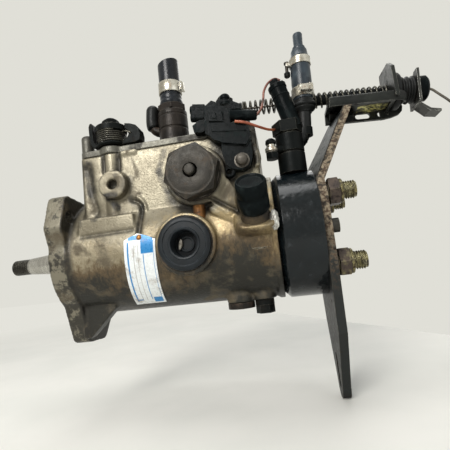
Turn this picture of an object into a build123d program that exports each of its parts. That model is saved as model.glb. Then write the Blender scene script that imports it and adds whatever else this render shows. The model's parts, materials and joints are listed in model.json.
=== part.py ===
from build123d import *
import math
import os

os.makedirs("parts", exist_ok=True)

# ---- driving dimensions, millimetres; X runs along the shaft to the rear, Z up ----
RUN = 0.05  # running clearance on a radius
SEAT = 0.02  # clearance of a fixed fit

SHAFT_TIP_X = -58.5
THREAD_LEN = 14.8
THREAD_R = 6.0
TAPER_R0 = 6.4
TAPER_R1 = 9.4
TAPER_LEN = 35.7
JOURNAL_R = 10.0
JOURNAL_END_X = 36.0
DRIVE_R = 9.0
DRIVE_END_X = 90.0
TONGUE_W = 6.0
TONGUE_LEN = 5.5
KEY_X = -26.0

FLANGE_T = 13.0
FLANGE_CORE_R = 43.5
BOLT_CIRCLE_R = 46.0
BOLT_HOLE_R = 4.2
PILOT_R = 25.0
PILOT_LEN = 5.0
SEAL_R = 16.0
SEAL_LEN = 8.0
BUSH_R = 13.0

BODY_R = 42.0
BODY_REAR_X = 154.0
DRAIN_X = 123.5
DRAIN_Y = -13.5
DRAIN_FACE_Z = -(BODY_R + 1.0)
DRAIN_SHANK_R = 5.4
LOCK_X = 139.5
LOCK_Y = -13.0
LOCK_FACE_Z = -BODY_R
LOCK_WASHER_T = 4.0
LOCK_HEX_T = 5.5
LOCK_SHANK_R = 3.9
BORE_R = 36.9
BORE_FRONT_X = 38.0
LAND_X0 = 96.5
LAND_X1 = 115.5
LAND_R = 28.2
REAR_LIP_X = 150.0

BOX_X0 = 21.0
BOX_X1 = 148.0
BOX_HALF_Y = 33.0
BOX_TOP_Z = 70.0
BOX_WALL = 6.0
COVER_T = 4.7

LEDGE_Z0 = 13.5
LEDGE_Z1 = 24.4
STOP_X = 44.5
STOP_Y = -28.0
STOP_BOSS_R = 7.0
STOP_SHAFT_R = 4.0

ADV_X = 106.0
ADV_Z = 43.0
ADV_BOSS_R = 20.0
ADV_BOSS_Y = -43.0
ADV_TUBE_R = 14.2
ADV_BORE_R = 12.0
ADV_BORE_END_Y = 7.0
ADV_HEX_AF = 32.0
ADV_HEX_T = 12.0
PLUG_SHANK = 7.0
PISTON_Y0 = -14.0
PISTON_Y1 = 6.0
STUD_R = 2.8
STUD_BALL_R = 3.4

INSP_X = 96.0
INSP_Z = -1.0
INSP_BOSS_R = 20.0
INSP_BOSS_Y = -(BODY_R + 3.5)
INSP_R = 17.15
INSP_T = 3.0
INSP_HOLE_R = 13.0

COLD_TILT = 42.0
COLD_TOP = (142.3, -62.0, 29.3)
COLD_CAP_R = 11.5
COLD_CAP_LEN = 20.5
COLD_COLLAR_R = 12.3
COLD_COLLAR_LEN = 4.8

HEAD_R = 44.0
HEAD_REAR_X = 182.5
SPIGOT_R = 36.6
SPIGOT_X0 = 118.0
ROTOR_R = 9.0
ROTOR_HEAD_R = 14.0
RECESS_R = 20.0
RECESS_X0 = 166.0
LINER_T = 8.0
OUTLET_OFF = 23.0
OUTLET_SHANK_R = 7.0
OUTLET_HEX_AF = 17.0
OUTLET_THREAD_R = 6.0
OUTLET_TIP_X = 208.0

VALVE_X = 126.0
VALVE_Y = 12.0
VALVE_R = 3.0
VALVE_ARM = 10.0
LINK_Z = 45.2

PLATE_T = 5.5
SCREW_R = 2.5
SCREW_CIRCLE_R = 32.0
ARM_BEND_Z = 31.0
ARM_TOP_X = 217.0
ARM_TOP_Z = 91.1
FOOT_Z = -113.0
SLOT_HALF_W = 3.5

GOV_X = 44.0
GOV_PLATE_T = 3.0
GOV_PLATE_R = 28.0
WEIGHT_PIN_X = 52.0
WEIGHT_PIN_RHO = 21.0
WEIGHT_PIN_R = 1.5
SLEEVE_X0 = 54.3
SLEEVE_LEN = 21.7
SLEEVE_R = 11.5
SLEEVE_FRONT_R = 15.0
SLEEVE_REAR_R = 17.0
PIVOT_X = 80.0
PIVOT_Z = 26.0
PIVOT_R = 2.5

THROTTLE_X = 127.7
THROTTLE_Y = -14.0
THROTTLE_R = 4.0
THROTTLE_BOSS_R = 8.5
THROTTLE_BOSS_TOP = 91.5
LEVER_Z = 95.2
LEVER_T = 3.5

CABLE_TILT = 3.73
CABLE_X = 139.4
CABLE_Y = 10.0
CABLE_Z = 105.8
WIRE_R = 0.9
NIPPLE_X = 135.0
SPRING_R = 6.05
SPRING_WIRE = 1.3
SLEEVE_TUBE_R = 4.0

UNION_X = 86.5
UNION_Y = -10.0
UNION_R = 11.2
BRANCH_X = 69.4
BRANCH_R = 3.4
UNION_TOP_Z = 103.0
UNION_HEX_AF = 20.0
RETURN_HOSE_R = 8.0
RETURN_BORE_R = 5.0
RETURN_HOSE_TOP = 146.0

INLET_X = 170.7
INLET_Y = -10.0
INLET_R = 9.75
INLET_TOP_Z = 79.5
INLET_PIPE_R = 3.85
INLET_HOSE_R = 7.3
SOLENOID_R = 6.2
SOLENOID_LEN = 30.0
SOLENOID_TILT = 13.7
SOLENOID_Y = -12.0
HOSE_Y = -7.5
PLUNGER_R = 2.6

cover_top = BOX_TOP_Z + COVER_T
cs = math.cos(math.radians(CABLE_TILT))
sn = math.sin(math.radians(CABLE_TILT))


def across(x, y=CABLE_Y):
    """The plane square to the cable where it passes x; local x is +Y, local y is up."""
    z = CABLE_Z - (x - CABLE_X) * sn / cs
    return Plane(origin=(x, y, z), x_dir=(0, 1, 0), z_dir=(cs, 0, -sn))


def along(x):
    """Distances along the cable from its datum for a station x."""
    return (x - CABLE_X) / cs


def vertical(x, y, z):
    """A level plane at a height, centred on x and y."""
    return Plane(origin=(x, y, z), x_dir=(1, 0, 0), z_dir=(0, 0, 1))


def facing(x, y, z):
    """A plane that looks toward -Y; local x is +X and local y is +Z."""
    return Plane(origin=(x, y, z), x_dir=(1, 0, 0), z_dir=(0, -1, 0))


def station(x, y=0.0, z=0.0):
    """A plane square to the shaft; local x is +Y and local y is +Z."""
    return Plane(origin=(x, y, z), x_dir=(0, 1, 0), z_dir=(1, 0, 0))


cold_dir = Vector(0, -math.cos(math.radians(90 - COLD_TILT)), math.sin(math.radians(90 - COLD_TILT)))


def cold(back):
    """The plane across the cold start axis, back millimetres behind the cap's top."""
    o = Vector(*COLD_TOP) - cold_dir * back
    return Plane(origin=(o.X, o.Y, o.Z), x_dir=(1, 0, 0), z_dir=(cold_dir.X, cold_dir.Y, cold_dir.Z))


sol_dir = Vector(-math.sin(math.radians(SOLENOID_TILT)), 0, math.cos(math.radians(SOLENOID_TILT)))


def sol(up):
    """The plane across the solenoid axis, up millimetres above its seat."""
    o = Vector(INLET_X + 3.4, SOLENOID_Y, INLET_TOP_Z - 0.6) + sol_dir * up
    return Plane(origin=(o.X, o.Y, o.Z), x_dir=(0, 1, 0), z_dir=(sol_dir.X, sol_dir.Y, sol_dir.Z))


hose_dir = Vector(math.sin(math.radians(2.9)), 0, math.cos(math.radians(2.9)))


def hose(z):
    """The plane across the inlet pipe at a height."""
    o = Vector(183.9, HOSE_Y, 80.0) + hose_dir * ((z - 80.0) / hose_dir.Z)
    return Plane(origin=(o.X, o.Y, o.Z), x_dir=(1, 0, 0), z_dir=(hose_dir.X, hose_dir.Y, hose_dir.Z))


bolt_angles = (52.0, 172.0, 292.0)
bolt_points = []
for a in bolt_angles:
    t = math.radians(a)
    bolt_points.append((-BOLT_CIRCLE_R * math.sin(t), BOLT_CIRCLE_R * math.cos(t)))

# ---- the casting ----
with BuildPart() as pump_housing:
    with BuildSketch(station(0)):
        with BuildLine():
            Polyline((-40, 44), (-47.5, 20), (-18, -60.5), (5, -61.5), (52, -2), (56, 12), (50, 34), close=True)
        make_face()
        fillet(vertices(), 6)
        Circle(FLANGE_CORE_R)
    extrude(amount=FLANGE_T)
    with BuildSketch(station(-PILOT_LEN)):
        Circle(PILOT_R)
    extrude(amount=PILOT_LEN)
    with BuildSketch(station(FLANGE_T)):
        Circle(BODY_R)
    extrude(amount=BODY_REAR_X - FLANGE_T)
    with BuildSketch(station(REAR_LIP_X)):
        Circle(BODY_R + 1.5)
    extrude(amount=BODY_REAR_X - REAR_LIP_X)
    with BuildSketch(vertical((BOX_X0 + BOX_X1) / 2, 0, 0)) as box_outline:
        RectangleRounded(BOX_X1 - BOX_X0, 2 * BOX_HALF_Y, 4)
    extrude(amount=BOX_TOP_Z)
    with BuildSketch(facing(STOP_X - 3.5, -30, (LEDGE_Z0 + LEDGE_Z1) / 2)):
        Rectangle(40, LEDGE_Z1 - LEDGE_Z0)
    extrude(amount=10)
    with BuildSketch(vertical(STOP_X, STOP_Y, LEDGE_Z1)):
        Circle(STOP_BOSS_R)
    extrude(amount=BOX_TOP_Z - LEDGE_Z1)
    with BuildSketch(facing(STOP_X + 3.0, -32, 46)):
        Circle(10)
    extrude(amount=8)
    with BuildSketch(facing(ADV_X, -30, ADV_Z)):
        Circle(ADV_BOSS_R)
    extrude(amount=-ADV_BOSS_Y - 30)
    with BuildSketch(facing(INSP_X, -34, INSP_Z)):
        Circle(INSP_BOSS_R)
    extrude(amount=-INSP_BOSS_Y - 34)
    with BuildSketch(cold(COLD_CAP_LEN + COLD_COLLAR_LEN)):
        Circle(COLD_COLLAR_R + 1.4)
    extrude(amount=-16)
    with BuildSketch(vertical(DRAIN_X, DRAIN_Y, DRAIN_FACE_Z)):
        Circle(DRAIN_SHANK_R + 4.0)
    extrude(amount=14)
    with BuildSketch(vertical(LOCK_X, LOCK_Y, LOCK_FACE_Z)):
        Circle(8.5)
    extrude(amount=12)
    with BuildSketch(facing(0, -14, 0)):
        with BuildLine():
            Polyline((FLANGE_T - 2, -57), (FLANGE_T + 3, -57), (36, -38), (36, -30), (FLANGE_T - 2, -30), close=True)
        make_face()
    extrude(amount=9)
    # bores and the governor chamber
    with BuildSketch(station(BORE_FRONT_X)):
        Circle(BORE_R)
    extrude(amount=BODY_REAR_X - BORE_FRONT_X, mode=Mode.SUBTRACT)
    with BuildSketch(vertical(0, 0, 0)):
        with Locations(((BORE_FRONT_X + SPIGOT_X0) / 2, 0)):
            Rectangle(SPIGOT_X0 - BORE_FRONT_X, 2 * (BOX_HALF_Y - BOX_WALL))
    extrude(amount=BOX_TOP_Z, mode=Mode.SUBTRACT)
    with BuildSketch(vertical(0, 0, 40)):
        with Locations(((BOX_X0 + BOX_X1) / 2, 0)):
            Rectangle(BOX_X1 - BOX_X0 - 2 * BOX_WALL, 2 * (BOX_HALF_Y - BOX_WALL))
    extrude(amount=BOX_TOP_Z - 40, mode=Mode.SUBTRACT)
    # the land that carries the cam ring, and the shaft boss of the stop lever
    with BuildSketch(station(LAND_X0)):
        Circle(BORE_R + 1)
    extrude(amount=LAND_X1 - LAND_X0)
    with BuildSketch(facing(ADV_X, -30, ADV_Z)):
        Circle(ADV_TUBE_R)
    extrude(amount=-(ADV_BORE_END_Y + 2.2 + 30))
    with BuildSketch(station(LAND_X0 - 1)):
        Circle(LAND_R)
    extrude(amount=LAND_X1 - LAND_X0 + 2, mode=Mode.SUBTRACT)
    with BuildSketch(facing(ADV_X, ADV_BOSS_Y - 1, ADV_Z)):
        Circle(ADV_BORE_R)
    extrude(amount=-(ADV_BORE_END_Y - ADV_BOSS_Y + 1), mode=Mode.SUBTRACT)
    with BuildSketch(vertical(ADV_X, -2.4, 20)):
        Rectangle(2 * STUD_R + 2, 13.5)
    extrude(amount=ADV_Z - 20, mode=Mode.SUBTRACT)
    with BuildSketch(vertical(STOP_X, STOP_Y, 40)):
        Circle(STOP_BOSS_R)
    extrude(amount=BOX_TOP_Z - 40)
    with BuildSketch(vertical(STOP_X + 4, STOP_Y - 2, 57)):
        with Locations((0, 2.5 + 4.5)):
            Rectangle(28, 14)
    extrude(amount=BOX_TOP_Z - 57, mode=Mode.SUBTRACT)
    with BuildSketch(vertical(STOP_X, STOP_Y, 57)):
        Circle(4.7)
    extrude(amount=BOX_TOP_Z - 57, mode=Mode.SUBTRACT)
    with BuildSketch(facing(STOP_X + 3.0, -41, 46)):
        Circle(3.5)
    extrude(amount=-7, mode=Mode.SUBTRACT)
    with BuildSketch(facing(INSP_X, INSP_BOSS_Y - 1, INSP_Z)):
        Circle(INSP_HOLE_R)
    extrude(amount=-(INSP_R), mode=Mode.SUBTRACT)
    with BuildSketch(cold(COLD_CAP_LEN + COLD_COLLAR_LEN)):
        Circle(5)
    extrude(amount=-8, mode=Mode.SUBTRACT)
    with BuildSketch(cold(COLD_CAP_LEN + COLD_COLLAR_LEN)):
        Circle(COLD_COLLAR_R + 0.1)
    extrude(amount=20, mode=Mode.SUBTRACT)
    with BuildSketch(station(LAND_X1)):
        Circle(BORE_R)
    extrude(amount=BODY_REAR_X - LAND_X1, mode=Mode.SUBTRACT)
    with BuildSketch(station(BODY_REAR_X)):
        Circle(80)
    extrude(amount=20, mode=Mode.SUBTRACT)
    with BuildSketch(vertical(DRAIN_X, DRAIN_Y, DRAIN_FACE_Z)):
        Circle(DRAIN_SHANK_R + 0.1)
    extrude(amount=7, mode=Mode.SUBTRACT)
    with BuildSketch(vertical(LOCK_X, LOCK_Y, LOCK_FACE_Z - 1)):
        Circle(LOCK_SHANK_R + 0.1)
    extrude(amount=14, mode=Mode.SUBTRACT)
    with BuildSketch(vertical(VALVE_X, VALVE_Y, 30)):
        Circle(5)
    extrude(amount=12, mode=Mode.SUBTRACT)
    with BuildSketch(facing(PIVOT_X, -30, PIVOT_Z)):
        Circle(PIVOT_R + SEAT)
    extrude(amount=-60, mode=Mode.SUBTRACT)
    with BuildSketch(station(-PILOT_LEN - 1)):
        Circle(SEAL_R)
    extrude(amount=SEAL_LEN + 1, mode=Mode.SUBTRACT)
    with BuildSketch(station(0)):
        Circle(BUSH_R)
    extrude(amount=BORE_FRONT_X + 1, mode=Mode.SUBTRACT)
    with BuildSketch(station(-1)):
        with Locations(*bolt_points):
            Circle(BOLT_HOLE_R)
    extrude(amount=FLANGE_T + 12, mode=Mode.SUBTRACT)
pump_housing.part.label = "pump_housing"
export_step(pump_housing.part, "parts/pump_housing.step")

with BuildPart() as governor_cover:
    with BuildSketch(vertical((BOX_X0 + BOX_X1) / 2, 0, BOX_TOP_Z)):
        RectangleRounded(BOX_X1 - BOX_X0, 2 * BOX_HALF_Y, 5)
    extrude(amount=COVER_T)
    with BuildSketch(vertical(STOP_X, STOP_Y, BOX_TOP_Z)):
        Circle(STOP_BOSS_R + 1.5)
    extrude(amount=COVER_T + 0.6)
    with BuildSketch(vertical(THROTTLE_X, THROTTLE_Y, BOX_TOP_Z)):
        Circle(THROTTLE_BOSS_R)
    extrude(amount=THROTTLE_BOSS_TOP - BOX_TOP_Z)
    with BuildSketch(vertical(THROTTLE_X, THROTTLE_Y, BOX_TOP_Z - 1)):
        Circle(THROTTLE_R + RUN)
    extrude(amount=THROTTLE_BOSS_TOP - BOX_TOP_Z + 2, mode=Mode.SUBTRACT)
    with BuildSketch(vertical(STOP_X, STOP_Y, BOX_TOP_Z - 1)):
        Circle(STOP_SHAFT_R + RUN)
    extrude(amount=COVER_T + 3, mode=Mode.SUBTRACT)
    with BuildSketch(vertical(UNION_X, UNION_Y, BOX_TOP_Z - 1)):
        Circle(5)
    extrude(amount=COVER_T + 2, mode=Mode.SUBTRACT)
    with BuildSketch(vertical(0, 0, BOX_TOP_Z - 1)):
        with Locations((28, 26), (140, 26), (84, 27), (140, -27)):
            Circle(SCREW_R)
    extrude(amount=COVER_T + 2, mode=Mode.SUBTRACT)
governor_cover.part.label = "governor_cover"
export_step(governor_cover.part, "parts/governor_cover.step")

with BuildPart() as cover_screws:
    with BuildSketch(vertical(0, 0, cover_top)):
        with Locations((28, 26), (140, 26), (84, 27), (140, -27)):
            Circle(4.5)
    extrude(amount=4)
    with BuildSketch(vertical(0, 0, BOX_TOP_Z)):
        with Locations((28, 26), (140, 26), (84, 27), (140, -27)):
            Circle(SCREW_R - SEAT)
    extrude(amount=COVER_T)
cover_screws.part.label = "cover_screws"
export_step(cover_screws.part, "parts/cover_screws.step")

with BuildPart() as cover_post:
    with BuildSketch(vertical(24.6, -26, cover_top)):
        RegularPolygon(4.3, 6, rotation=30)
    extrude(amount=5)
    with BuildSketch(vertical(24.6, -26, cover_top)):
        Circle(3.7)
    extrude(amount=13.6)
cover_post.part.label = "cover_post"
export_step(cover_post.part, "parts/cover_post.step")

# ---- the head and what it carries ----
outlets = ((-OUTLET_OFF, -OUTLET_OFF), (-OUTLET_OFF, OUTLET_OFF), (OUTLET_OFF, -OUTLET_OFF), (OUTLET_OFF, OUTLET_OFF))
plate_screws = ((-SCREW_CIRCLE_R, 0), (SCREW_CIRCLE_R, 0), (0, -SCREW_CIRCLE_R), (0, OUTLET_OFF))
with BuildPart() as hydraulic_head:
    with BuildSketch(station(BODY_REAR_X)):
        Circle(HEAD_R)
    extrude(amount=HEAD_REAR_X - BODY_REAR_X)
    chamfer(edges().filter_by(GeomType.CIRCLE).group_by(Axis.X)[0], 4)
    with BuildSketch(station(SPIGOT_X0)):
        Circle(SPIGOT_R)
    extrude(amount=BODY_REAR_X - SPIGOT_X0)
    with BuildSketch(station(SPIGOT_X0 - 1)):
        Circle(ROTOR_R + 0.02)
    extrude(amount=RECESS_X0 - SPIGOT_X0 + 2, mode=Mode.SUBTRACT)
    with BuildSketch(station(RECESS_X0)):
        Circle(RECESS_R)
    extrude(amount=HEAD_REAR_X - RECESS_X0, mode=Mode.SUBTRACT)
    with BuildSketch(station(HEAD_REAR_X - 11)):
        with Locations(*outlets):
            Circle(OUTLET_SHANK_R)
    extrude(amount=11, mode=Mode.SUBTRACT)
    with BuildSketch(station(HEAD_REAR_X - 9)):
        with Locations(*plate_screws):
            Circle(SCREW_R)
    extrude(amount=9, mode=Mode.SUBTRACT)
    with BuildSketch(vertical(VALVE_X, VALVE_Y, 15)):
        Circle(VALVE_R + 0.03)
    extrude(amount=25, mode=Mode.SUBTRACT)
    with BuildSketch(vertical(LOCK_X, LOCK_Y, LOCK_FACE_Z + 2)):
        Circle(LOCK_SHANK_R + 0.1)
    extrude(amount=9, mode=Mode.SUBTRACT)
    with BuildSketch(vertical(INLET_X, INLET_Y, 34)):
        Circle(4)
    extrude(amount=12, mode=Mode.SUBTRACT)
    with BuildSketch(vertical(INLET_X, INLET_Y, 42)):
        Circle(INLET_R + 0.6)
    extrude(amount=6, mode=Mode.SUBTRACT)
hydraulic_head.part.label = "hydraulic_head"
export_step(hydraulic_head.part, "parts/hydraulic_head.step")

with BuildPart() as head_lock_bolt:
    with BuildSketch(vertical(LOCK_X, LOCK_Y, LOCK_FACE_Z - LOCK_WASHER_T)):
        Circle(6.5)
    extrude(amount=LOCK_WASHER_T)
    with BuildSketch(vertical(LOCK_X, LOCK_Y, LOCK_FACE_Z - LOCK_WASHER_T - LOCK_HEX_T)):
        RegularPolygon(6.4, 6)
    extrude(amount=LOCK_HEX_T)
    with BuildSketch(vertical(LOCK_X, LOCK_Y, LOCK_FACE_Z)):
        Circle(LOCK_SHANK_R)
    extrude(amount=7.5)
head_lock_bolt.part.label = "head_lock_bolt"
export_step(head_lock_bolt.part, "parts/head_lock_bolt.step")

with BuildPart() as drain_plug:
    with BuildSketch(vertical(DRAIN_X, DRAIN_Y, DRAIN_FACE_Z - 4)):
        Circle(DRAIN_SHANK_R + 3.8)
    extrude(amount=4)
    with BuildSketch(vertical(DRAIN_X, DRAIN_Y, DRAIN_FACE_Z - 4)):
        RegularPolygon(3.4, 6)
    extrude(amount=2.5, mode=Mode.SUBTRACT)
    with BuildSketch(vertical(DRAIN_X, DRAIN_Y, DRAIN_FACE_Z)):
        Circle(DRAIN_SHANK_R)
    extrude(amount=6)
drain_plug.part.label = "drain_plug"
export_step(drain_plug.part, "parts/drain_plug.step")

with BuildPart() as outlet_unions:
    with BuildSketch(station(HEAD_REAR_X - 10.5)):
        with Locations(*outlets):
            Circle(OUTLET_SHANK_R - SEAT)
    extrude(amount=18)
    with BuildSketch(station(HEAD_REAR_X + 7.5)):
        with Locations(*outlets):
            RegularPolygon(OUTLET_HEX_AF / 2, 6, major_radius=False)
    extrude(amount=9)
    with BuildSketch(station(HEAD_REAR_X + 16.5)):
        with Locations(*outlets):
            Circle(OUTLET_THREAD_R)
    extrude(amount=OUTLET_TIP_X - HEAD_REAR_X - 16.5)
    with BuildSketch(station(HEAD_REAR_X - 11)):
        with Locations(*outlets):
            Circle(2)
    extrude(amount=50, mode=Mode.SUBTRACT)
outlet_unions.part.label = "outlet_unions"
export_step(outlet_unions.part, "parts/outlet_unions.step")

half = PLATE_T / 2
mid = HEAD_REAR_X + half
lean = math.atan2(ARM_TOP_X - mid, ARM_TOP_Z - ARM_BEND_Z)
with BuildPart() as rear_bracket:
    with BuildSketch(facing(0, 60, 0)):
        with BuildLine() as spine:
            Polyline(
                (mid - half, FOOT_Z - 5),
                (mid - half, ARM_BEND_Z + 0.7),
                (ARM_TOP_X - half / math.cos(lean), ARM_TOP_Z),
                (ARM_TOP_X + half / math.cos(lean), ARM_TOP_Z),
                (mid + half, ARM_BEND_Z - 0.7),
                (mid + half, FOOT_Z - 5),
                close=True,
            )
        make_face()
    extrude(amount=120)
    with BuildSketch(station(150)):
        with BuildLine():
            Polyline(
                (-12, -104),
                (-33, -66),
                (-38, -20),
                (-38, 20),
                (-30, 35),
                (-7.5, 87.2),
                (-3.3, 87.2),
                (-3.3, 94),
                (19.3, 94),
                (19.3, 83.6),
                (28.5, 83.6),
                (30, 78),
                (38, 35),
                (38, -20),
                (27, -66),
                (8, -104),
                close=True,
            )
        make_face()
        with Locations((-2, FOOT_Z + 10)):
            Circle(10)
    extrude(amount=100, mode=Mode.INTERSECT)
    with BuildSketch(station(180)):
        with Locations((-3.5, FOOT_Z + 18.5)):
            SlotOverall(23, 2 * SLOT_HALF_W, rotation=90)
    extrude(amount=12, mode=Mode.SUBTRACT)
    with BuildSketch(station(180)):
        with Locations(*outlets):
            Circle(OUTLET_SHANK_R + 1.5)
        with Locations(*plate_screws):
            Circle(SCREW_R + 0.3)
    extrude(amount=12, mode=Mode.SUBTRACT)
rear_bracket.part.label = "rear_bracket"
export_step(rear_bracket.part, "parts/rear_bracket.step")

with BuildPart() as bracket_screws:
    with BuildSketch(station(HEAD_REAR_X - 8)):
        with Locations(*plate_screws):
            Circle(SCREW_R - SEAT)
    extrude(amount=8 + PLATE_T)
    with BuildSketch(station(HEAD_REAR_X + PLATE_T)):
        with Locations(*plate_screws):
            Circle(4.6)
    extrude(amount=4.5)
bracket_screws.part.label = "bracket_screws"
export_step(bracket_screws.part, "parts/bracket_screws.step")

# ---- plugs and fittings on the near side ----
with BuildPart() as advance_plug:
    with BuildSketch(facing(ADV_X, ADV_BOSS_Y, ADV_Z)):
        RegularPolygon(ADV_HEX_AF / 2, 6, major_radius=False, rotation=10)
    extrude(amount=ADV_HEX_T)
    chamfer(edges().group_by(Axis.Y)[0], 1.2)
    with BuildSketch(facing(ADV_X, ADV_BOSS_Y, ADV_Z)):
        Circle(ADV_BORE_R - SEAT)
    extrude(amount=-PLUG_SHANK)
    with BuildSketch(facing(ADV_X, ADV_BOSS_Y - ADV_HEX_T, ADV_Z)):
        Circle(4.6)
    extrude(amount=-6, mode=Mode.SUBTRACT)
    with BuildSketch(facing(ADV_X, ADV_BOSS_Y + PLUG_SHANK - 3, ADV_Z)):
        Circle(9.5)
        Circle(5, mode=Mode.SUBTRACT)
    extrude(amount=-3, mode=Mode.SUBTRACT)
advance_plug.part.label = "advance_plug"
export_step(advance_plug.part, "parts/advance_plug.step")

with BuildPart() as inspection_plug:
    with BuildSketch(facing(INSP_X, INSP_BOSS_Y, INSP_Z)):
        Circle(INSP_R)
    extrude(amount=INSP_T)
    with BuildSketch(facing(INSP_X, INSP_BOSS_Y, INSP_Z)):
        Circle(INSP_HOLE_R - SEAT)
    extrude(amount=-7)
    with BuildSketch(facing(INSP_X, INSP_BOSS_Y - INSP_T, INSP_Z)):
        Circle(8.5)
    extrude(amount=-2, mode=Mode.SUBTRACT)
inspection_plug.part.label = "inspection_plug"
export_step(inspection_plug.part, "parts/inspection_plug.step")

with BuildPart() as cold_start_collar:
    with BuildSketch(cold(COLD_CAP_LEN)):
        Circle(COLD_COLLAR_R)
    extrude(amount=-COLD_COLLAR_LEN)
    with BuildSketch(cold(COLD_CAP_LEN + COLD_COLLAR_LEN)):
        Circle(5 - SEAT)
    extrude(amount=-7)
cold_start_collar.part.label = "cold_start_collar"
export_step(cold_start_collar.part, "parts/cold_start_collar.step")

with BuildPart() as cold_start_cap:
    with BuildSketch(cold(COLD_CAP_LEN)):
        Circle(COLD_CAP_R)
    extrude(amount=COLD_CAP_LEN)
    chamfer(edges().filter_by(GeomType.CIRCLE).sort_by(Axis.Z)[-1], 1.2)
    with BuildSketch(cold(0)):
        Circle(5)
    extrude(amount=-2, mode=Mode.SUBTRACT)
cold_start_cap.part.label = "cold_start_cap"
export_step(cold_start_cap.part, "parts/cold_start_cap.step")

# ---- return union, hose and branch on the cover ----
with BuildPart() as return_union:
    with BuildSketch(vertical(UNION_X, UNION_Y, cover_top)):
        Circle(UNION_R)
    extrude(amount=UNION_TOP_Z - cover_top)
    with BuildSketch(vertical(UNION_X, UNION_Y, 88)):
        Circle(UNION_R)
        Circle(UNION_R - 1, mode=Mode.SUBTRACT)
    extrude(amount=1.4, mode=Mode.SUBTRACT)
    with BuildSketch(vertical(UNION_X, UNION_Y, UNION_TOP_Z)):
        RegularPolygon(UNION_HEX_AF / 2, 6, major_radius=False)
    extrude(amount=5)
    with BuildSketch(vertical(UNION_X, UNION_Y, UNION_TOP_Z + 5)):
        Circle(5.4)
    extrude(amount=16)
    with BuildSketch(vertical(UNION_X, UNION_Y, BOX_TOP_Z + 0.5)):
        Circle(5 - SEAT)
    extrude(amount=COVER_T - 0.5)
    with BuildSketch(station(BRANCH_X, UNION_Y, 90)):
        Circle(4.0)
    extrude(amount=UNION_X - BRANCH_X)
    with BuildSketch(vertical(BRANCH_X, UNION_Y, 86)):
        Circle(4.0)
    extrude(amount=9.5)
    with BuildSketch(vertical(BRANCH_X, UNION_Y, 95.5)):
        Circle(BRANCH_R)
    extrude(amount=16.5)
    with BuildSketch(vertical(BRANCH_X, UNION_Y, 90)):
        Circle(1.8)
    extrude(amount=24, mode=Mode.SUBTRACT)
    with BuildSketch(vertical(UNION_X, UNION_Y, BOX_TOP_Z)):
        Circle(3)
    extrude(amount=60, mode=Mode.SUBTRACT)
return_union.part.label = "return_union"
export_step(return_union.part, "parts/return_union.step")

with BuildPart() as return_hose:
    with BuildSketch(vertical(UNION_X, UNION_Y, UNION_TOP_Z + 5)):
        Circle(RETURN_HOSE_R)
        Circle(RETURN_BORE_R, mode=Mode.SUBTRACT)
    extrude(amount=RETURN_HOSE_TOP - UNION_TOP_Z - 5)
    with BuildSketch(vertical(UNION_X, UNION_Y, UNION_TOP_Z + 5)):
        Circle(5.4 + SEAT)
    extrude(amount=16, mode=Mode.SUBTRACT)
    with BuildSketch(facing(0, 10, 0)):
        with BuildLine():
            Polyline(
                (UNION_X - 12, RETURN_HOSE_TOP - 5.5),
                (UNION_X + 12, RETURN_HOSE_TOP + 0.2),
                (UNION_X + 12, RETURN_HOSE_TOP + 8),
                (UNION_X - 12, RETURN_HOSE_TOP + 8),
                close=True,
            )
        make_face()
    extrude(amount=40, mode=Mode.SUBTRACT)
return_hose.part.label = "return_hose"
export_step(return_hose.part, "parts/return_hose.step")

with BuildPart() as hose_clips:
    with BuildSketch(vertical(UNION_X, UNION_Y, 118)):
        Circle(RETURN_HOSE_R + 1.3)
        Circle(RETURN_HOSE_R + SEAT, mode=Mode.SUBTRACT)
    extrude(amount=9)
    with BuildSketch(vertical(UNION_X + 11, UNION_Y, 119)):
        Rectangle(6, 6)
    extrude(amount=7)
    with BuildSketch(hose(121)):
        Circle(INLET_HOSE_R + 1.0)
        Circle(INLET_HOSE_R + SEAT, mode=Mode.SUBTRACT)
    extrude(amount=9)
    with BuildSketch(hose(121)):
        with Locations((-9.6, 0)):
            Rectangle(4.4, 5)
    extrude(amount=8)
    with BuildSketch(hose(98.5)):
        Circle(INLET_HOSE_R + 1.2)
        Circle(INLET_HOSE_R + SEAT, mode=Mode.SUBTRACT)
    extrude(amount=8)
    with BuildSketch(hose(98.5)):
        with Locations((7, -8)):
            Rectangle(11, 6, rotation=40)
    extrude(amount=8)
    with BuildSketch(hose(95)):
        Circle(INLET_HOSE_R + SEAT)
    extrude(amount=40, mode=Mode.SUBTRACT)
hose_clips.part.label = "hose_clips"
export_step(hose_clips.part, "parts/hose_clips.step")

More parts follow.
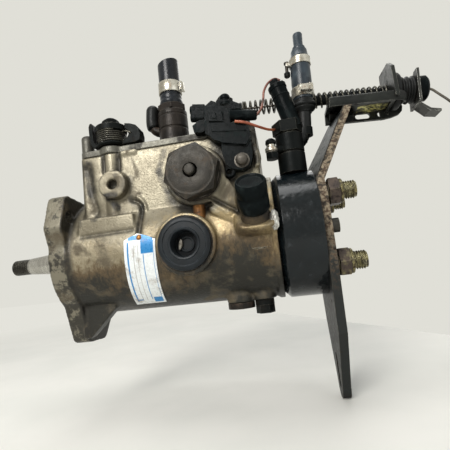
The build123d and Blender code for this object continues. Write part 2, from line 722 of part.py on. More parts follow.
# ---- inlet, its hose and the stop solenoid ----
with BuildPart() as inlet_body:
    with BuildSketch(vertical(INLET_X, INLET_Y, 42)):
        Circle(INLET_R)
    extrude(amount=INLET_TOP_Z - 9.5 - 42)
    with BuildSketch(vertical(INLET_X, INLET_Y, 56)):
        Circle(INLET_R)
        Circle(INLET_R - 1.2, mode=Mode.SUBTRACT)
    extrude(amount=1.6, mode=Mode.SUBTRACT)
    with BuildSketch(vertical(INLET_X, INLET_Y, INLET_TOP_Z - 9.5)):
        Circle(INLET_R - 1)
    extrude(amount=1.2)
    with BuildSketch(vertical(INLET_X, INLET_Y, INLET_TOP_Z - 8.3)):
        RegularPolygon(INLET_R, 6, major_radius=False)
    extrude(amount=8.3)
    with BuildSketch(vertical(INLET_X, INLET_Y, 34.5)):
        Circle(4 - SEAT)
    extrude(amount=8)
    with BuildSketch(station(INLET_X, HOSE_Y, 69)):
        Circle(INLET_PIPE_R + 1)
    extrude(amount=183.5 - INLET_X)
    with BuildSketch(hose(69)):
        Circle(INLET_PIPE_R + 1)
    extrude(amount=6)
    with BuildSketch(hose(69)):
        Circle(INLET_PIPE_R)
    extrude(amount=37)
    with BuildSketch(hose(69)):
        Circle(2.2)
    extrude(amount=38, mode=Mode.SUBTRACT)
    with BuildSketch(sol(-13)):
        Circle(PLUNGER_R + 0.6)
    extrude(amount=16, mode=Mode.SUBTRACT)
    with BuildSketch(sol(-4.5)):
        Circle(SOLENOID_R)
    extrude(amount=14, mode=Mode.SUBTRACT)
inlet_body.part.label = "inlet_body"
export_step(inlet_body.part, "parts/inlet_body.step")

with BuildPart() as stop_solenoid:
    with BuildSketch(sol(-4.5)):
        Circle(SOLENOID_R - SEAT)
    extrude(amount=SOLENOID_LEN + 4.5)
    chamfer(edges().filter_by(GeomType.CIRCLE).sort_by(Axis.Z)[-1], 1.2)
    with BuildSketch(sol(SOLENOID_LEN)):
        Circle(2.4)
    extrude(amount=5.5)
    with BuildSketch(sol(-5)):
        Circle(PLUNGER_R + RUN)
    extrude(amount=17, mode=Mode.SUBTRACT)
stop_solenoid.part.label = "stop_solenoid"
export_step(stop_solenoid.part, "parts/stop_solenoid.step")

with BuildPart() as solenoid_plunger:
    with BuildSketch(sol(-11)):
        Circle(PLUNGER_R)
    extrude(amount=20)
solenoid_plunger.part.label = "solenoid_plunger"
export_step(solenoid_plunger.part, "parts/solenoid_plunger.step")

with BuildPart() as inlet_hose:
    with BuildSketch(hose(89)):
        Circle(6.6)
    extrude(amount=8)
    with BuildSketch(hose(96)):
        Circle(INLET_HOSE_R)
    extrude(amount=33.5)
    with BuildSketch(hose(129)):
        Circle(6.2)
    extrude(amount=6)
    with BuildSketch(hose(88)):
        Circle(INLET_PIPE_R + SEAT)
    extrude(amount=50, mode=Mode.SUBTRACT)
inlet_hose.part.label = "inlet_hose"
export_step(inlet_hose.part, "parts/inlet_hose.step")

with BuildPart() as inlet_nozzle:
    with BuildSketch(hose(124)):
        Circle(INLET_PIPE_R)
    extrude(amount=12)
    with BuildSketch(hose(135)):
        Circle(4.8)
    extrude(amount=2.6)
    with BuildSketch(hose(137)):
        Circle(3.6)
    extrude(amount=11.4)
    with BuildSketch(hose(123)):
        Circle(2)
    extrude(amount=30, mode=Mode.SUBTRACT)
inlet_nozzle.part.label = "inlet_nozzle"
export_step(inlet_nozzle.part, "parts/inlet_nozzle.step")

# ---- throttle switch and the electrical leads ----
with BuildPart() as throttle_switch:
    with BuildSketch(facing(0, -34, 0)):
        with BuildLine():
            Polyline(
                (116, 90), (137, 88), (137, 77), (142, 72), (142, 47),
                (126, 45), (124, 58), (119, 71), (112, 76), (116, 79),
                close=True,
            )
        make_face()
    extrude(amount=9)
    with BuildSketch(facing(0, -33, 0)):
        with BuildLine():
            Polyline((104.5, 83), (104.5, 88), (110, 89), (110, 95), (120, 94), (120, 83), close=True)
        make_face()
    extrude(amount=6)
    with BuildSketch(station(137, -36, 81.5)):
        Circle(4)
    extrude(amount=13)
    with BuildSketch(facing(136.5, -33, 51)):
        Circle(5.6)
    extrude(amount=13)
throttle_switch.part.label = "throttle_switch"
export_step(throttle_switch.part, "parts/throttle_switch.step")


def cord(points, radius):
    """A plain tube: straight runs joined by tangent arcs."""
    radii = []
    for i in range(1, len(points) - 1):
        a = Vector(*points[i - 1]) - Vector(*points[i])
        b = Vector(*points[i + 1]) - Vector(*points[i])
        turn = math.radians(180.0 - a.get_angle(b))
        radii.append(min(0.45 * min(a.length, b.length) / math.tan(turn / 2), 60.0))
    print("bend radii", [round(r, 1) for r in radii])
    with BuildPart() as made:
        with BuildLine() as path:
            FilletPolyline(*points, radius=radii)
        first = Vector(*points[1]) - Vector(*points[0])
        with BuildSketch(Plane(origin=points[0], z_dir=(first.X, first.Y, first.Z))):
            Circle(radius)
        sweep(path=path.wires()[0])
    return made.part


solenoid_lead_points = [
    (162.9, -12, 113.4), (160.2, -12.6, 112.4), (157.6, -15.5, 105.0), (155.6, -22, 93.5), (153.9, -31, 84.8),
    (152.2, -35.5, 81.6), (150.3, -36, 81.5),
]
solenoid_lead_part = cord(solenoid_lead_points, 1.3)
solenoid_lead_part.label = "solenoid_lead"
export_step(solenoid_lead_part, "parts/solenoid_lead.step")
switch_lead_points = [
    (142.25, -38.5, 70.7), (146.2, -37.8, 70.9), (151.0, -32, 72.8), (155.6, -22, 75.6), (157.4, -14.5, 76.7),
    (157.9, -10.5, 77.0),
]
switch_lead_part = cord(switch_lead_points, 1.2)
switch_lead_part.label = "switch_lead"
export_step(switch_lead_part, "parts/switch_lead.step")

# ---- cable bracket and what it carries ----
with BuildPart() as cable_bracket:
    with BuildSketch(across(203.5)):
        with BuildLine():
            Polyline(
                (-16, -6.6), (12, -6.6), (12, -16.5), (9.5, -16.5), (9.5, -9.1),
                (-13.5, -9.1), (-13.5, -13.0), (-16, -13.0), close=True,
            )
        make_face()
    extrude(amount=along(248.6) - along(203.5))
    with BuildSketch(across(248.4)):
        with BuildLine():
            Polyline(
                (-19.5, -11), (-19.5, -6.9), (-14.8, 13.5), (-6.4, 20), (15, 21), (15, -13.5), (9, -13.5), (9, -11),
                close=True,
            )
        make_face()
        Circle(SLEEVE_TUBE_R + 1, mode=Mode.SUBTRACT)
    extrude(amount=2.5)
    with BuildSketch(facing(0, 25, 0)):
        with Locations((231, 87.3)):
            SlotOverall(11, 4.4, rotation=-4)
        with Locations((244.6, 86.6)):
            Circle(2.4)
    extrude(amount=6, mode=Mode.SUBTRACT)
cable_bracket.part.label = "cable_bracket"
export_step(cable_bracket.part, "parts/cable_bracket.step")

with BuildPart() as cable_adjuster:
    with BuildSketch(across(194)):
        Circle(SLEEVE_TUBE_R)
    extrude(amount=along(269) - along(194))
    with BuildSketch(across(269)):
        Circle(9.25)
    extrude(amount=7)
    chamfer(edges().filter_by(GeomType.CIRCLE).sort_by(Axis.X)[-1], 1.4)
    with BuildSketch(across(193)):
        Circle(WIRE_R + 0.35)
    extrude(amount=100, mode=Mode.SUBTRACT)
cable_adjuster.part.label = "cable_adjuster"
export_step(cable_adjuster.part, "parts/cable_adjuster.step")

with BuildPart() as cable_grommet:
    with BuildSketch(across(251.2)):
        Circle(13.5)
    extrude(amount=5)
    with BuildSketch(across(256)):
        Circle(9)
    extrude(amount=11)
    with BuildSketch(across(257.5)):
        Circle(10)
    extrude(amount=2)
    with BuildSketch(across(261)):
        Circle(10)
    extrude(amount=2)
    with BuildSketch(across(264.5)):
        Circle(10)
    extrude(amount=1.8)
    with BuildSketch(across(250)):
        Circle(SLEEVE_TUBE_R + SEAT)
    extrude(amount=20, mode=Mode.SUBTRACT)
cable_grommet.part.label = "cable_grommet"
export_step(cable_grommet.part, "parts/cable_grommet.step")

with BuildPart() as cable_clip:
    with BuildSketch(across(267.1)):
        with BuildLine():
            Polyline((-10, 12), (-4, 12), (0, 8.5), (4, 12), (10, 12), (10, -13), (-10, -13), close=True)
        make_face()
        Circle(SLEEVE_TUBE_R + SEAT, mode=Mode.SUBTRACT)
    extrude(amount=1.8)
    with BuildSketch(facing(0, 16, 0)):
        with BuildLine():
            Polyline((266.6, 85.0), (268.4, 85.0), (274.5, 79.4), (281.2, 77.6), (281.2, 76.0), (273.5, 77.6), close=True)
        make_face()
    extrude(amount=12)
cable_clip.part.label = "cable_clip"
export_step(cable_clip.part, "parts/cable_clip.step")

with BuildPart() as throttle_return_spring:
    with BuildSketch(across(139.0)):
        Circle(SPRING_R)
        Circle(SPRING_R - SPRING_WIRE, mode=Mode.SUBTRACT)
    extrude(amount=along(248.2) - along(139.0))
throttle_return_spring.part.label = "throttle_return_spring"
export_step(throttle_return_spring.part, "parts/throttle_return_spring.step")

wire_z = CABLE_Z - (NIPPLE_X - CABLE_X) * sn / cs
tail_z = CABLE_Z - (279.0 - CABLE_X) * sn / cs
wire_points = [
    (NIPPLE_X + 1.5, CABLE_Y, wire_z - 1.5 * sn / cs), (279.0, CABLE_Y, tail_z), (283.6, CABLE_Y, 91.5),
    (291.5, CABLE_Y, 83.4), (301.0, CABLE_Y, 68.0), (305.0, CABLE_Y, 46.0), (300.0, CABLE_Y, 20.0),
]
wire_part = cord(wire_points, WIRE_R)
with BuildPart() as throttle_wire:
    add(wire_part)
    with BuildSketch(vertical(NIPPLE_X, CABLE_Y, LEVER_Z - 2.5)):
        Circle(1.5)
    extrude(amount=wire_z - LEVER_Z + 3)
    with BuildSketch(vertical(NIPPLE_X, CABLE_Y, wire_z - 3)):
        Circle(3.2)
    extrude(amount=6)
    with BuildSketch(across(NIPPLE_X + 2)):
        Circle(5.2)
    extrude(amount=1.6)
    with BuildSketch(facing(300.0, CABLE_Y + 3.5, 17.5)):
        Circle(3)
    extrude(amount=7)
throttle_wire.part.label = "throttle_wire"
export_step(throttle_wire.part, "parts/throttle_wire.step")

# ---- throttle lever and shaft ----
arm = math.atan2(CABLE_Y - THROTTLE_Y, NIPPLE_X - THROTTLE_X)
reach = math.hypot(CABLE_Y - THROTTLE_Y, NIPPLE_X - THROTTLE_X)
lever_plane = Plane(
    origin=(THROTTLE_X, THROTTLE_Y, LEVER_Z), x_dir=(math.cos(arm), math.sin(arm), 0), z_dir=(0, 0, 1)
)
with BuildPart() as throttle_lever:
    with BuildSketch(lever_plane):
        Circle(8)
        with Locations(((reach + 10) / 2, 0)):
            Rectangle(reach + 10, 11)
        with Locations((reach + 10, 0)):
            Circle(5.5)
        with Locations((reach + 4, 0)):
            SlotOverall(18.5, 5.6, mode=Mode.SUBTRACT)
        Circle(THROTTLE_R, mode=Mode.SUBTRACT)
    extrude(amount=LEVER_T)
throttle_lever.part.label = "throttle_lever"
export_step(throttle_lever.part, "parts/throttle_lever.step")

with BuildPart() as throttle_shaft:
    with BuildSketch(vertical(THROTTLE_X, THROTTLE_Y, 59)):
        Circle(THROTTLE_R)
    extrude(amount=LEVER_Z + LEVER_T - 59)
    with BuildSketch(vertical(THROTTLE_X, THROTTLE_Y, THROTTLE_BOSS_TOP + 0.3)):
        Circle(6.5)
    extrude(amount=LEVER_Z - THROTTLE_BOSS_TOP - 0.3)
    with BuildSketch(vertical(THROTTLE_X, THROTTLE_Y, 59)):
        Circle(6)
        with Locations((0, 5.5)):
            Rectangle(5, 11)
        with Locations((0, 9.5)):
            Circle(3.2)
        with Locations((0, 9.5)):
            Circle(1.2, mode=Mode.SUBTRACT)
    extrude(amount=4.6)
with BuildPart() as throttle_nut:
    with BuildSketch(vertical(THROTTLE_X, THROTTLE_Y, LEVER_Z + LEVER_T)):
        Circle(7)
    extrude(amount=1.2)
    with BuildSketch(vertical(THROTTLE_X, THROTTLE_Y, LEVER_Z + LEVER_T + 1.2)):
        RegularPolygon(5.5, 6, major_radius=False)
    extrude(amount=4.4)
    with BuildSketch(vertical(THROTTLE_X, THROTTLE_Y, LEVER_Z + LEVER_T + 5.6)):
        Circle(4.6)
    extrude(amount=2.6)
    chamfer(edges().filter_by(GeomType.CIRCLE).sort_by(Axis.Z)[-1], 1.2)
throttle_shaft_pieces = Compound(children=[throttle_shaft.part, throttle_nut.part])
throttle_shaft_pieces.label = "throttle_shaft"
export_step(throttle_shaft_pieces, "parts/throttle_shaft.step")

# ---- stop lever ----
with BuildPart() as stop_shaft:
    with BuildSketch(vertical(STOP_X, STOP_Y, 60.5)):
        Circle(STOP_SHAFT_R)
    extrude(amount=96.5 - 60.5)
    with BuildSketch(vertical(STOP_X, STOP_Y, 60.5)):
        Circle(4.5)
        with Locations(Location((0, 0, 0), (0, 0, 60))):
            with Locations((7.5, 0)):
                Rectangle(15, 4)
    extrude(amount=3.5)
with BuildPart() as stop_nut:
    with BuildSketch(vertical(STOP_X, STOP_Y, 92.6)):
        RegularPolygon(5.4, 6, major_radius=False)
    extrude(amount=6.4)
    with BuildSketch(vertical(STOP_X, STOP_Y, 92)):
        Circle(STOP_SHAFT_R)
    extrude(amount=4.6, mode=Mode.SUBTRACT)
stop_shaft_pieces = Compound(children=[stop_shaft.part, stop_nut.part])
stop_shaft_pieces.label = "stop_shaft"
export_step(stop_shaft_pieces, "parts/stop_shaft.step")

with BuildPart() as stop_lever:
    with BuildSketch(vertical(STOP_X, STOP_Y, 76.2)):
        Circle(10)
        with Locations((-7, 0)):
            Rectangle(14, 10)
        with Locations((13, 0)):
            Rectangle(20, 9)
    extrude(amount=3.2)
    with BuildSketch(vertical(STOP_X - 13.2, STOP_Y, 76.2)):
        Rectangle(2.6, 10)
    extrude(amount=19.8)
    with BuildSketch(vertical(STOP_X + 21.5, STOP_Y, 76.2)):
        Rectangle(3, 9)
    extrude(amount=9)
    with BuildSketch(vertical(STOP_X, STOP_Y, 75)):
        Circle(STOP_SHAFT_R)
    extrude(amount=6, mode=Mode.SUBTRACT)
stop_lever.part.label = "stop_lever"
export_step(stop_lever.part, "parts/stop_lever.step")

with BuildPart() as stop_spring:
    with BuildSketch(vertical(STOP_X, STOP_Y, 79.9)):
        Circle(8.6)
        Circle(7.0, mode=Mode.SUBTRACT)
    extrude(amount=6.6)
stop_spring.part.label = "stop_spring"
export_step(stop_spring.part, "parts/stop_spring.step")

with BuildPart() as stop_disc:
    with BuildSketch(vertical(STOP_X, STOP_Y, 87)):
        Circle(11.1)
    extrude(amount=4)
    with BuildSketch(vertical(STOP_X, STOP_Y, 79.6)):
        Circle(6.6)
    extrude(amount=7.4)
    with BuildSketch(vertical(STOP_X, STOP_Y, 91)):
        Circle(8)
    extrude(amount=1.6)
    with BuildSketch(vertical(STOP_X, STOP_Y, 78)):
        Circle(STOP_SHAFT_R)
    extrude(amount=16, mode=Mode.SUBTRACT)
stop_disc.part.label = "stop_disc"
export_step(stop_disc.part, "parts/stop_disc.step")

# ---- the drive train ----
key_r = TAPER_R0 + (TAPER_R1 - TAPER_R0) * (KEY_X - SHAFT_TIP_X - THREAD_LEN) / TAPER_LEN
with BuildPart() as drive_shaft:
    with BuildSketch(Plane.XZ):
        with BuildLine():
            Polyline(
                (SHAFT_TIP_X, 0),
                (SHAFT_TIP_X, THREAD_R - 1),
                (SHAFT_TIP_X + 1, THREAD_R),
                (SHAFT_TIP_X + THREAD_LEN, THREAD_R),
                (SHAFT_TIP_X + THREAD_LEN, TAPER_R0),
                (SHAFT_TIP_X + THREAD_LEN + TAPER_LEN, TAPER_R1),
                (SHAFT_TIP_X + THREAD_LEN + TAPER_LEN, JOURNAL_R),
                (JOURNAL_END_X, JOURNAL_R),
                (JOURNAL_END_X, DRIVE_R),
                (DRIVE_END_X, DRIVE_R),
                (DRIVE_END_X, 0),
                close=True,
            )
        make_face()
    revolve(axis=Axis.X)
    with BuildSketch(station(DRIVE_END_X)):
        Rectangle(TONGUE_W, 15)
    extrude(amount=TONGUE_LEN)
    with BuildSketch(vertical(KEY_X, key_r, -2)):
        Circle(6.5)
    extrude(amount=4, mode=Mode.SUBTRACT)
drive_shaft.part.label = "drive_shaft"
export_step(drive_shaft.part, "parts/drive_shaft.step")

with BuildPart() as woodruff_key:
    with BuildSketch(vertical(KEY_X, key_r, -1.98)):
        Circle(6.45)
        with Locations((0, 7.5)):
            Rectangle(20, 10, mode=Mode.SUBTRACT)
    extrude(amount=3.96)
woodruff_key.part.label = "woodruff_key"
export_step(woodruff_key.part, "parts/woodruff_key.step")

with BuildPart() as shaft_seal:
    with BuildSketch(station(-PILOT_LEN)):
        Circle(SEAL_R)
        Circle(JOURNAL_R + RUN, mode=Mode.SUBTRACT)
    extrude(amount=SEAL_LEN)
shaft_seal.part.label = "shaft_seal"
export_step(shaft_seal.part, "parts/shaft_seal.step")

with BuildPart() as shaft_bush:
    with BuildSketch(station(SEAL_LEN - PILOT_LEN)):
        Circle(BUSH_R)
        Circle(JOURNAL_R + RUN, mode=Mode.SUBTRACT)
    extrude(amount=BORE_FRONT_X - SEAL_LEN + PILOT_LEN)
shaft_bush.part.label = "shaft_bush"
export_step(shaft_bush.part, "parts/shaft_bush.step")

with BuildPart() as governor_cage:
    with BuildSketch(station(GOV_X)):
        Circle(GOV_PLATE_R)
    extrude(amount=GOV_PLATE_T)
    with BuildSketch(station(GOV_X + GOV_PLATE_T)):
        Circle(12)
    extrude(amount=2.5)
    with BuildSketch(station(GOV_X + GOV_PLATE_T)):
        with Locations((6.2, 21), (-6.2, 21), (6.2, -21), (-6.2, -21)):
            Rectangle(2.4, 7)
        with Locations((21, 6.2), (21, -6.2), (-21, 6.2), (-21, -6.2)):
            Rectangle(7, 2.4)
    extrude(amount=8)
    with BuildSketch(Plane(origin=(WEIGHT_PIN_X, -7.4, WEIGHT_PIN_RHO), x_dir=(1, 0, 0), z_dir=(0, 1, 0))):
        Circle(WEIGHT_PIN_R)
    extrude(amount=14.8)
    with BuildSketch(Plane(origin=(WEIGHT_PIN_X, -7.4, -WEIGHT_PIN_RHO), x_dir=(1, 0, 0), z_dir=(0, 1, 0))):
        Circle(WEIGHT_PIN_R)
    extrude(amount=14.8)
    with BuildSketch(Plane(origin=(WEIGHT_PIN_X, WEIGHT_PIN_RHO, -7.4), x_dir=(1, 0, 0), z_dir=(0, 0, 1))):
        Circle(WEIGHT_PIN_R)
    extrude(amount=14.8)
    with BuildSketch(Plane(origin=(WEIGHT_PIN_X, -WEIGHT_PIN_RHO, -7.4), x_dir=(1, 0, 0), z_dir=(0, 0, 1))):
        Circle(WEIGHT_PIN_R)
    extrude(amount=14.8)
    with BuildSketch(station(GOV_X - 1)):
        Circle(DRIVE_R + SEAT)
    extrude(amount=10, mode=Mode.SUBTRACT)
governor_cage.part.label = "governor_cage"
export_step(governor_cage.part, "parts/governor_cage.step")

with BuildPart() as weight_top:
    with BuildSketch(facing(WEIGHT_PIN_X, 4.6, WEIGHT_PIN_RHO)):
        Circle(3)
        with Locations((0.25, -4.75)):
            Rectangle(3.5, 9.5)
        with Locations((3, 0)):
            Rectangle(6, 5)
    extrude(amount=9.2)
    with BuildSketch(facing(WEIGHT_PIN_X, 8, WEIGHT_PIN_RHO)):
        with Locations((9.5, 1.75)):
            Rectangle(9, 8.5)
    extrude(amount=16)
    with BuildSketch(facing(WEIGHT_PIN_X, 10, WEIGHT_PIN_RHO)):
        Circle(WEIGHT_PIN_R + RUN)
    extrude(amount=20, mode=Mode.SUBTRACT)
for number in range(4):
    weight = weight_top.part.rotate(Axis.X, 90.0 * number)
    weight.label = "flyweight_" + str(number + 1)
    export_step(weight, "parts/flyweight_" + str(number + 1) + ".step")

with BuildPart() as thrust_sleeve:
    with BuildSketch(station(SLEEVE_X0)):
        Circle(SLEEVE_R)
    extrude(amount=SLEEVE_LEN)
    with BuildSketch(station(SLEEVE_X0)):
        Circle(SLEEVE_FRONT_R)
    extrude(amount=3)
    with BuildSketch(station(SLEEVE_X0 + SLEEVE_LEN - 3)):
        Circle(SLEEVE_REAR_R)
    extrude(amount=3)
    with BuildSketch(station(SLEEVE_X0 - 1)):
        Circle(DRIVE_R + RUN)
    extrude(amount=SLEEVE_LEN + 2, mode=Mode.SUBTRACT)
thrust_sleeve.part.label = "thrust_sleeve"
export_step(thrust_sleeve.part, "parts/thrust_sleeve.step")

with BuildPart() as governor_pivot_pin:
    with BuildSketch(facing(PIVOT_X, 30, PIVOT_Z)):
        Circle(PIVOT_R)
    extrude(amount=60)
governor_pivot_pin.part.label = "governor_pivot_pin"
export_step(governor_pivot_pin.part, "parts/governor_pivot_pin.step")

with BuildPart() as governor_arm:
    with BuildSketch(facing(PIVOT_X, 20, PIVOT_Z)):
        Circle(4.6)
    extrude(amount=34)
    with BuildSketch(facing(PIVOT_X, 13, PIVOT_Z)):
        with Locations((-0.4, -7.5)):
            Rectangle(4.6, 15)
        with Locations((-1.3, -15)):
            Circle(2.4)
    extrude(amount=3)
    with BuildSketch(facing(PIVOT_X, -10, PIVOT_Z)):
        with Locations((-0.4, -7.5)):
            Rectangle(4.6, 15)
        with Locations((-1.3, -15)):
            Circle(2.4)
    extrude(amount=3)
    with BuildSketch(facing(PIVOT_X, 20, PIVOT_Z)):
        with Locations((0, 11)):
            Rectangle(6, 22)
    extrude(amount=3)
    with BuildSketch(facing(PIVOT_X, 24, LINK_Z)):
        Circle(1.2)
    extrude(amount=5)
    with BuildSketch(facing(PIVOT_X, -4.5, PIVOT_Z)):
        with Locations((0, 19)):
            Rectangle(6, 38)
        with Locations((0, 35.5)):
            Circle(1.2, mode=Mode.SUBTRACT)
    extrude(amount=3)
    with BuildSketch(facing(PIVOT_X, 21, PIVOT_Z)):
        Circle(PIVOT_R + RUN)
    extrude(amount=36, mode=Mode.SUBTRACT)
governor_arm.part.label = "governor_arm"
export_step(governor_arm.part, "parts/governor_arm.step")

with BuildPart() as governor_spring:
    with BuildSketch(station(83.3, -5.6, 61.5)):
        Circle(2.8)
        Circle(2.0, mode=Mode.SUBTRACT)
    extrude(amount=THROTTLE_X - 3.5 - 83.3)
governor_spring.part.label = "governor_spring"
export_step(governor_spring.part, "parts/governor_spring.step")

with BuildPart() as metering_link:
    with BuildSketch(facing(PIVOT_X, 22.8, LINK_Z)):
        RectangleRounded(10, 8.4, 2)
        SlotOverall(4.8, 3.0, rotation=90, mode=Mode.SUBTRACT)
    extrude(amount=1.6)
    with BuildSketch(station(PIVOT_X + 4.5, 22, LINK_Z)):
        Circle(0.8)
    extrude(amount=VALVE_X - PIVOT_X - 9)
    with BuildSketch(vertical(VALVE_X, 21.4, LINK_Z - 0.8)):
        RectangleRounded(10, 8, 2)
        with Locations((0, 0)):
            SlotOverall(4.0, 3.0, rotation=90, mode=Mode.SUBTRACT)
    extrude(amount=1.6)
metering_link.part.label = "metering_link"
export_step(metering_link.part, "parts/metering_link.step")

with BuildPart() as metering_valve:
    with BuildSketch(vertical(VALVE_X, VALVE_Y, 16)):
        Circle(VALVE_R)
    extrude(amount=28)
    with BuildSketch(vertical(VALVE_X, VALVE_Y, 40.8)):
        Circle(4.4)
        with Locations((0, VALVE_ARM / 2)):
            Rectangle(3.4, VALVE_ARM)
        with Locations((0, VALVE_ARM)):
            Circle(1.8)
    extrude(amount=2.2)
    with BuildSketch(vertical(VALVE_X, VALVE_Y + VALVE_ARM, 43)):
        Circle(0.9)
    extrude(amount=4.4)
metering_valve.part.label = "metering_valve"
export_step(metering_valve.part, "parts/metering_valve.step")

with BuildPart() as cam_ring:
    with BuildSketch(station(98)):
        Circle(LAND_R - RUN)
        Circle(22, mode=Mode.SUBTRACT)
        with Locations((16.9, 16.9), (-16.9, 16.9), (16.9, -16.9), (-16.9, -16.9)):
            Circle(3.3)
    extrude(amount=16)
    with BuildSketch(vertical(ADV_X, 0, LAND_R - 3)):
        Circle(STUD_R)
    extrude(amount=ADV_Z - LAND_R + 3)
    with BuildSketch(facing(ADV_X, 0, ADV_Z)):
        with BuildLine():
            Line((0, -STUD_BALL_R), (0, STUD_BALL_R))
            RadiusArc((0, STUD_BALL_R), (0, -STUD_BALL_R), STUD_BALL_R)
        make_face()
    revolve(axis=Axis((ADV_X, 0, ADV_Z), (0, 0, 1)))
cam_ring.part.label = "cam_ring"
export_step(cam_ring.part, "parts/cam_ring.step")

with BuildPart() as distributor_rotor:
    with BuildSketch(station(91)):
        Circle(ROTOR_HEAD_R)
    extrude(amount=24)
    with BuildSketch(station(115)):
        Circle(ROTOR_R)
    extrude(amount=58.7)
    with BuildSketch(station(90)):
        Rectangle(TONGUE_W + 2 * SEAT, 2 * ROTOR_HEAD_R + 2)
    extrude(amount=1 + TONGUE_LEN, mode=Mode.SUBTRACT)
    with BuildSketch(vertical(106, 0, -15)):
        Circle(3.05)
    extrude(amount=30, mode=Mode.SUBTRACT)
    with BuildSketch(facing(106, 15, 0)):
        Circle(3.05)
    extrude(amount=30, mode=Mode.SUBTRACT)
    with BuildSketch(station(RECESS_X0)):
        Rectangle(2.1, 2 * ROTOR_R + 2)
        Rectangle(2 * ROTOR_R + 2, 2.1)
    extrude(amount=9, mode=Mode.SUBTRACT)
distributor_rotor.part.label = "distributor_rotor"
export_step(distributor_rotor.part, "parts/distributor_rotor.step")

with BuildPart() as cam_rollers:
    with BuildSketch(vertical(106, 0, 5)):
        Circle(3.0)
    extrude(amount=9.3)
    with BuildSketch(vertical(106, 0, 14.3)):
        Rectangle(12, 7)
    extrude(amount=2.6)
    with BuildSketch(station(99.5, 0, 17.6)):
        Circle(2.65)
    extrude(amount=13, mode=Mode.SUBTRACT)
    with BuildSketch(station(100, 0, 17.6)):
        Circle(2.6)
    extrude(amount=12)
roller_set = cam_rollers.part
rollers = Compound(children=[
    roller_set.rotate(Axis.X, 0), roller_set.rotate(Axis.X, 90), roller_set.rotate(Axis.X, 180),
    roller_set.rotate(Axis.X, 270),
])
rollers.label = "cam_rollers"
export_step(rollers, "parts/cam_rollers.step")

with BuildPart() as transfer_blades:
    with BuildSketch(station(RECESS_X0 + 0.1)):
        Rectangle(2.06, 19.8)
        Rectangle(2.0, 1.2, mode=Mode.SUBTRACT)
        Rectangle(19.8, 2.06)
    extrude(amount=7.6)
transfer_blades.part.label = "transfer_blades"
export_step(transfer_blades.part, "parts/transfer_blades.step")

with BuildPart() as transfer_liner:
    with BuildSketch(station(RECESS_X0)):
        Circle(RECESS_R - SEAT)
        with Locations((0, 1.3)):
            Circle(11.4, mode=Mode.SUBTRACT)
    extrude(amount=LINER_T)
transfer_liner.part.label = "transfer_liner"
export_step(transfer_liner.part, "parts/transfer_liner.step")

with BuildPart() as transfer_end_plate:
    with BuildSketch(station(RECESS_X0 + LINER_T)):
        Circle(RECESS_R - SEAT)
    extrude(amount=HEAD_REAR_X - RECESS_X0 - LINER_T)
transfer_end_plate.part.label = "transfer_end_plate"
export_step(transfer_end_plate.part, "parts/transfer_end_plate.step")

with BuildPart() as advance_piston:
    with BuildSketch(facing(ADV_X, PISTON_Y1, ADV_Z)):
        Circle(ADV_BORE_R - RUN)
    extrude(amount=PISTON_Y1 - PISTON_Y0)
    with BuildSketch(vertical(ADV_X, 0, ADV_Z - ADV_BORE_R)):
        Circle(4)
    extrude(amount=ADV_BORE_R + 5, mode=Mode.SUBTRACT)
    with BuildSketch(vertical(ADV_X, 0.5, ADV_Z - ADV_BORE_R - 1)):
        Rectangle(8, 9.4)
    extrude(amount=ADV_BORE_R - 2.5, mode=Mode.SUBTRACT)
advance_piston.part.label = "advance_piston"
export_step(advance_piston.part, "parts/advance_piston.step")

with BuildPart() as advance_spring:
    with BuildSketch(facing(ADV_X, PISTON_Y0 - 0.3, ADV_Z)):
        Circle(9.2)
        Circle(7.2, mode=Mode.SUBTRACT)
    extrude(amount=PISTON_Y0 - 0.3 - (ADV_BOSS_Y + PLUG_SHANK) - 0.2)
advance_spring.part.label = "advance_spring"
export_step(advance_spring.part, "parts/advance_spring.step")
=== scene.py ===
"""The looks of a rotary diesel injection pump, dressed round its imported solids.

Sizes are in millimetres in the part's own frame: +X along the shaft to the rear, +Z up through the
governor cover, +Y away from the hexagonal plug. They become metres when a mesh is made.
"""

from __future__ import annotations

import json
import logging
import math
from dataclasses import dataclass, field
from enum import Enum
from typing import Iterable, NamedTuple, Sequence

import bmesh
import bpy
import numpy as np
from mathutils import Matrix

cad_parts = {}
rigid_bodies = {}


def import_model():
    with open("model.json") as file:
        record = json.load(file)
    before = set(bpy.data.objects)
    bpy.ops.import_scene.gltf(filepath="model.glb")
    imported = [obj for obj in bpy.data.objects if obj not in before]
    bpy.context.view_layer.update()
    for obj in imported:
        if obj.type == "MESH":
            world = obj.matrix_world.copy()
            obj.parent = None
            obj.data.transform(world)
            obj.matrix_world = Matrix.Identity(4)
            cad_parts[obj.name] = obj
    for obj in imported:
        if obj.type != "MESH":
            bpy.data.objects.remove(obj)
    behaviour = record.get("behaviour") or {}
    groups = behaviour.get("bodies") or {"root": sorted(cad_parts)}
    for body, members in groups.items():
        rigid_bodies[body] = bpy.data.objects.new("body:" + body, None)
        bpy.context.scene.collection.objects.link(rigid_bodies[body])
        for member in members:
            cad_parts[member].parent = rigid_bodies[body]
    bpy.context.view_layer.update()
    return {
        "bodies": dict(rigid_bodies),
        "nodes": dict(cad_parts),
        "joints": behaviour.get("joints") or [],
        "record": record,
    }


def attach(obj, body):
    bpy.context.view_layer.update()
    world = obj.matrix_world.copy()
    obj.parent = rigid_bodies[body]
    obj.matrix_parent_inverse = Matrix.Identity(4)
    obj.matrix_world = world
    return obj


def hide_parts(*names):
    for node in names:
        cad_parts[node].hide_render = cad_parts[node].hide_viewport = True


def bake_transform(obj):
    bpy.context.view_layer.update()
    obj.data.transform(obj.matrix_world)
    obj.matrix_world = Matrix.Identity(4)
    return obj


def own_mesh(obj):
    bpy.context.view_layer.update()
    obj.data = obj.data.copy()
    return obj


LOG = logging.getLogger("pump")
MM = 0.001
TAU = 2.0 * math.pi
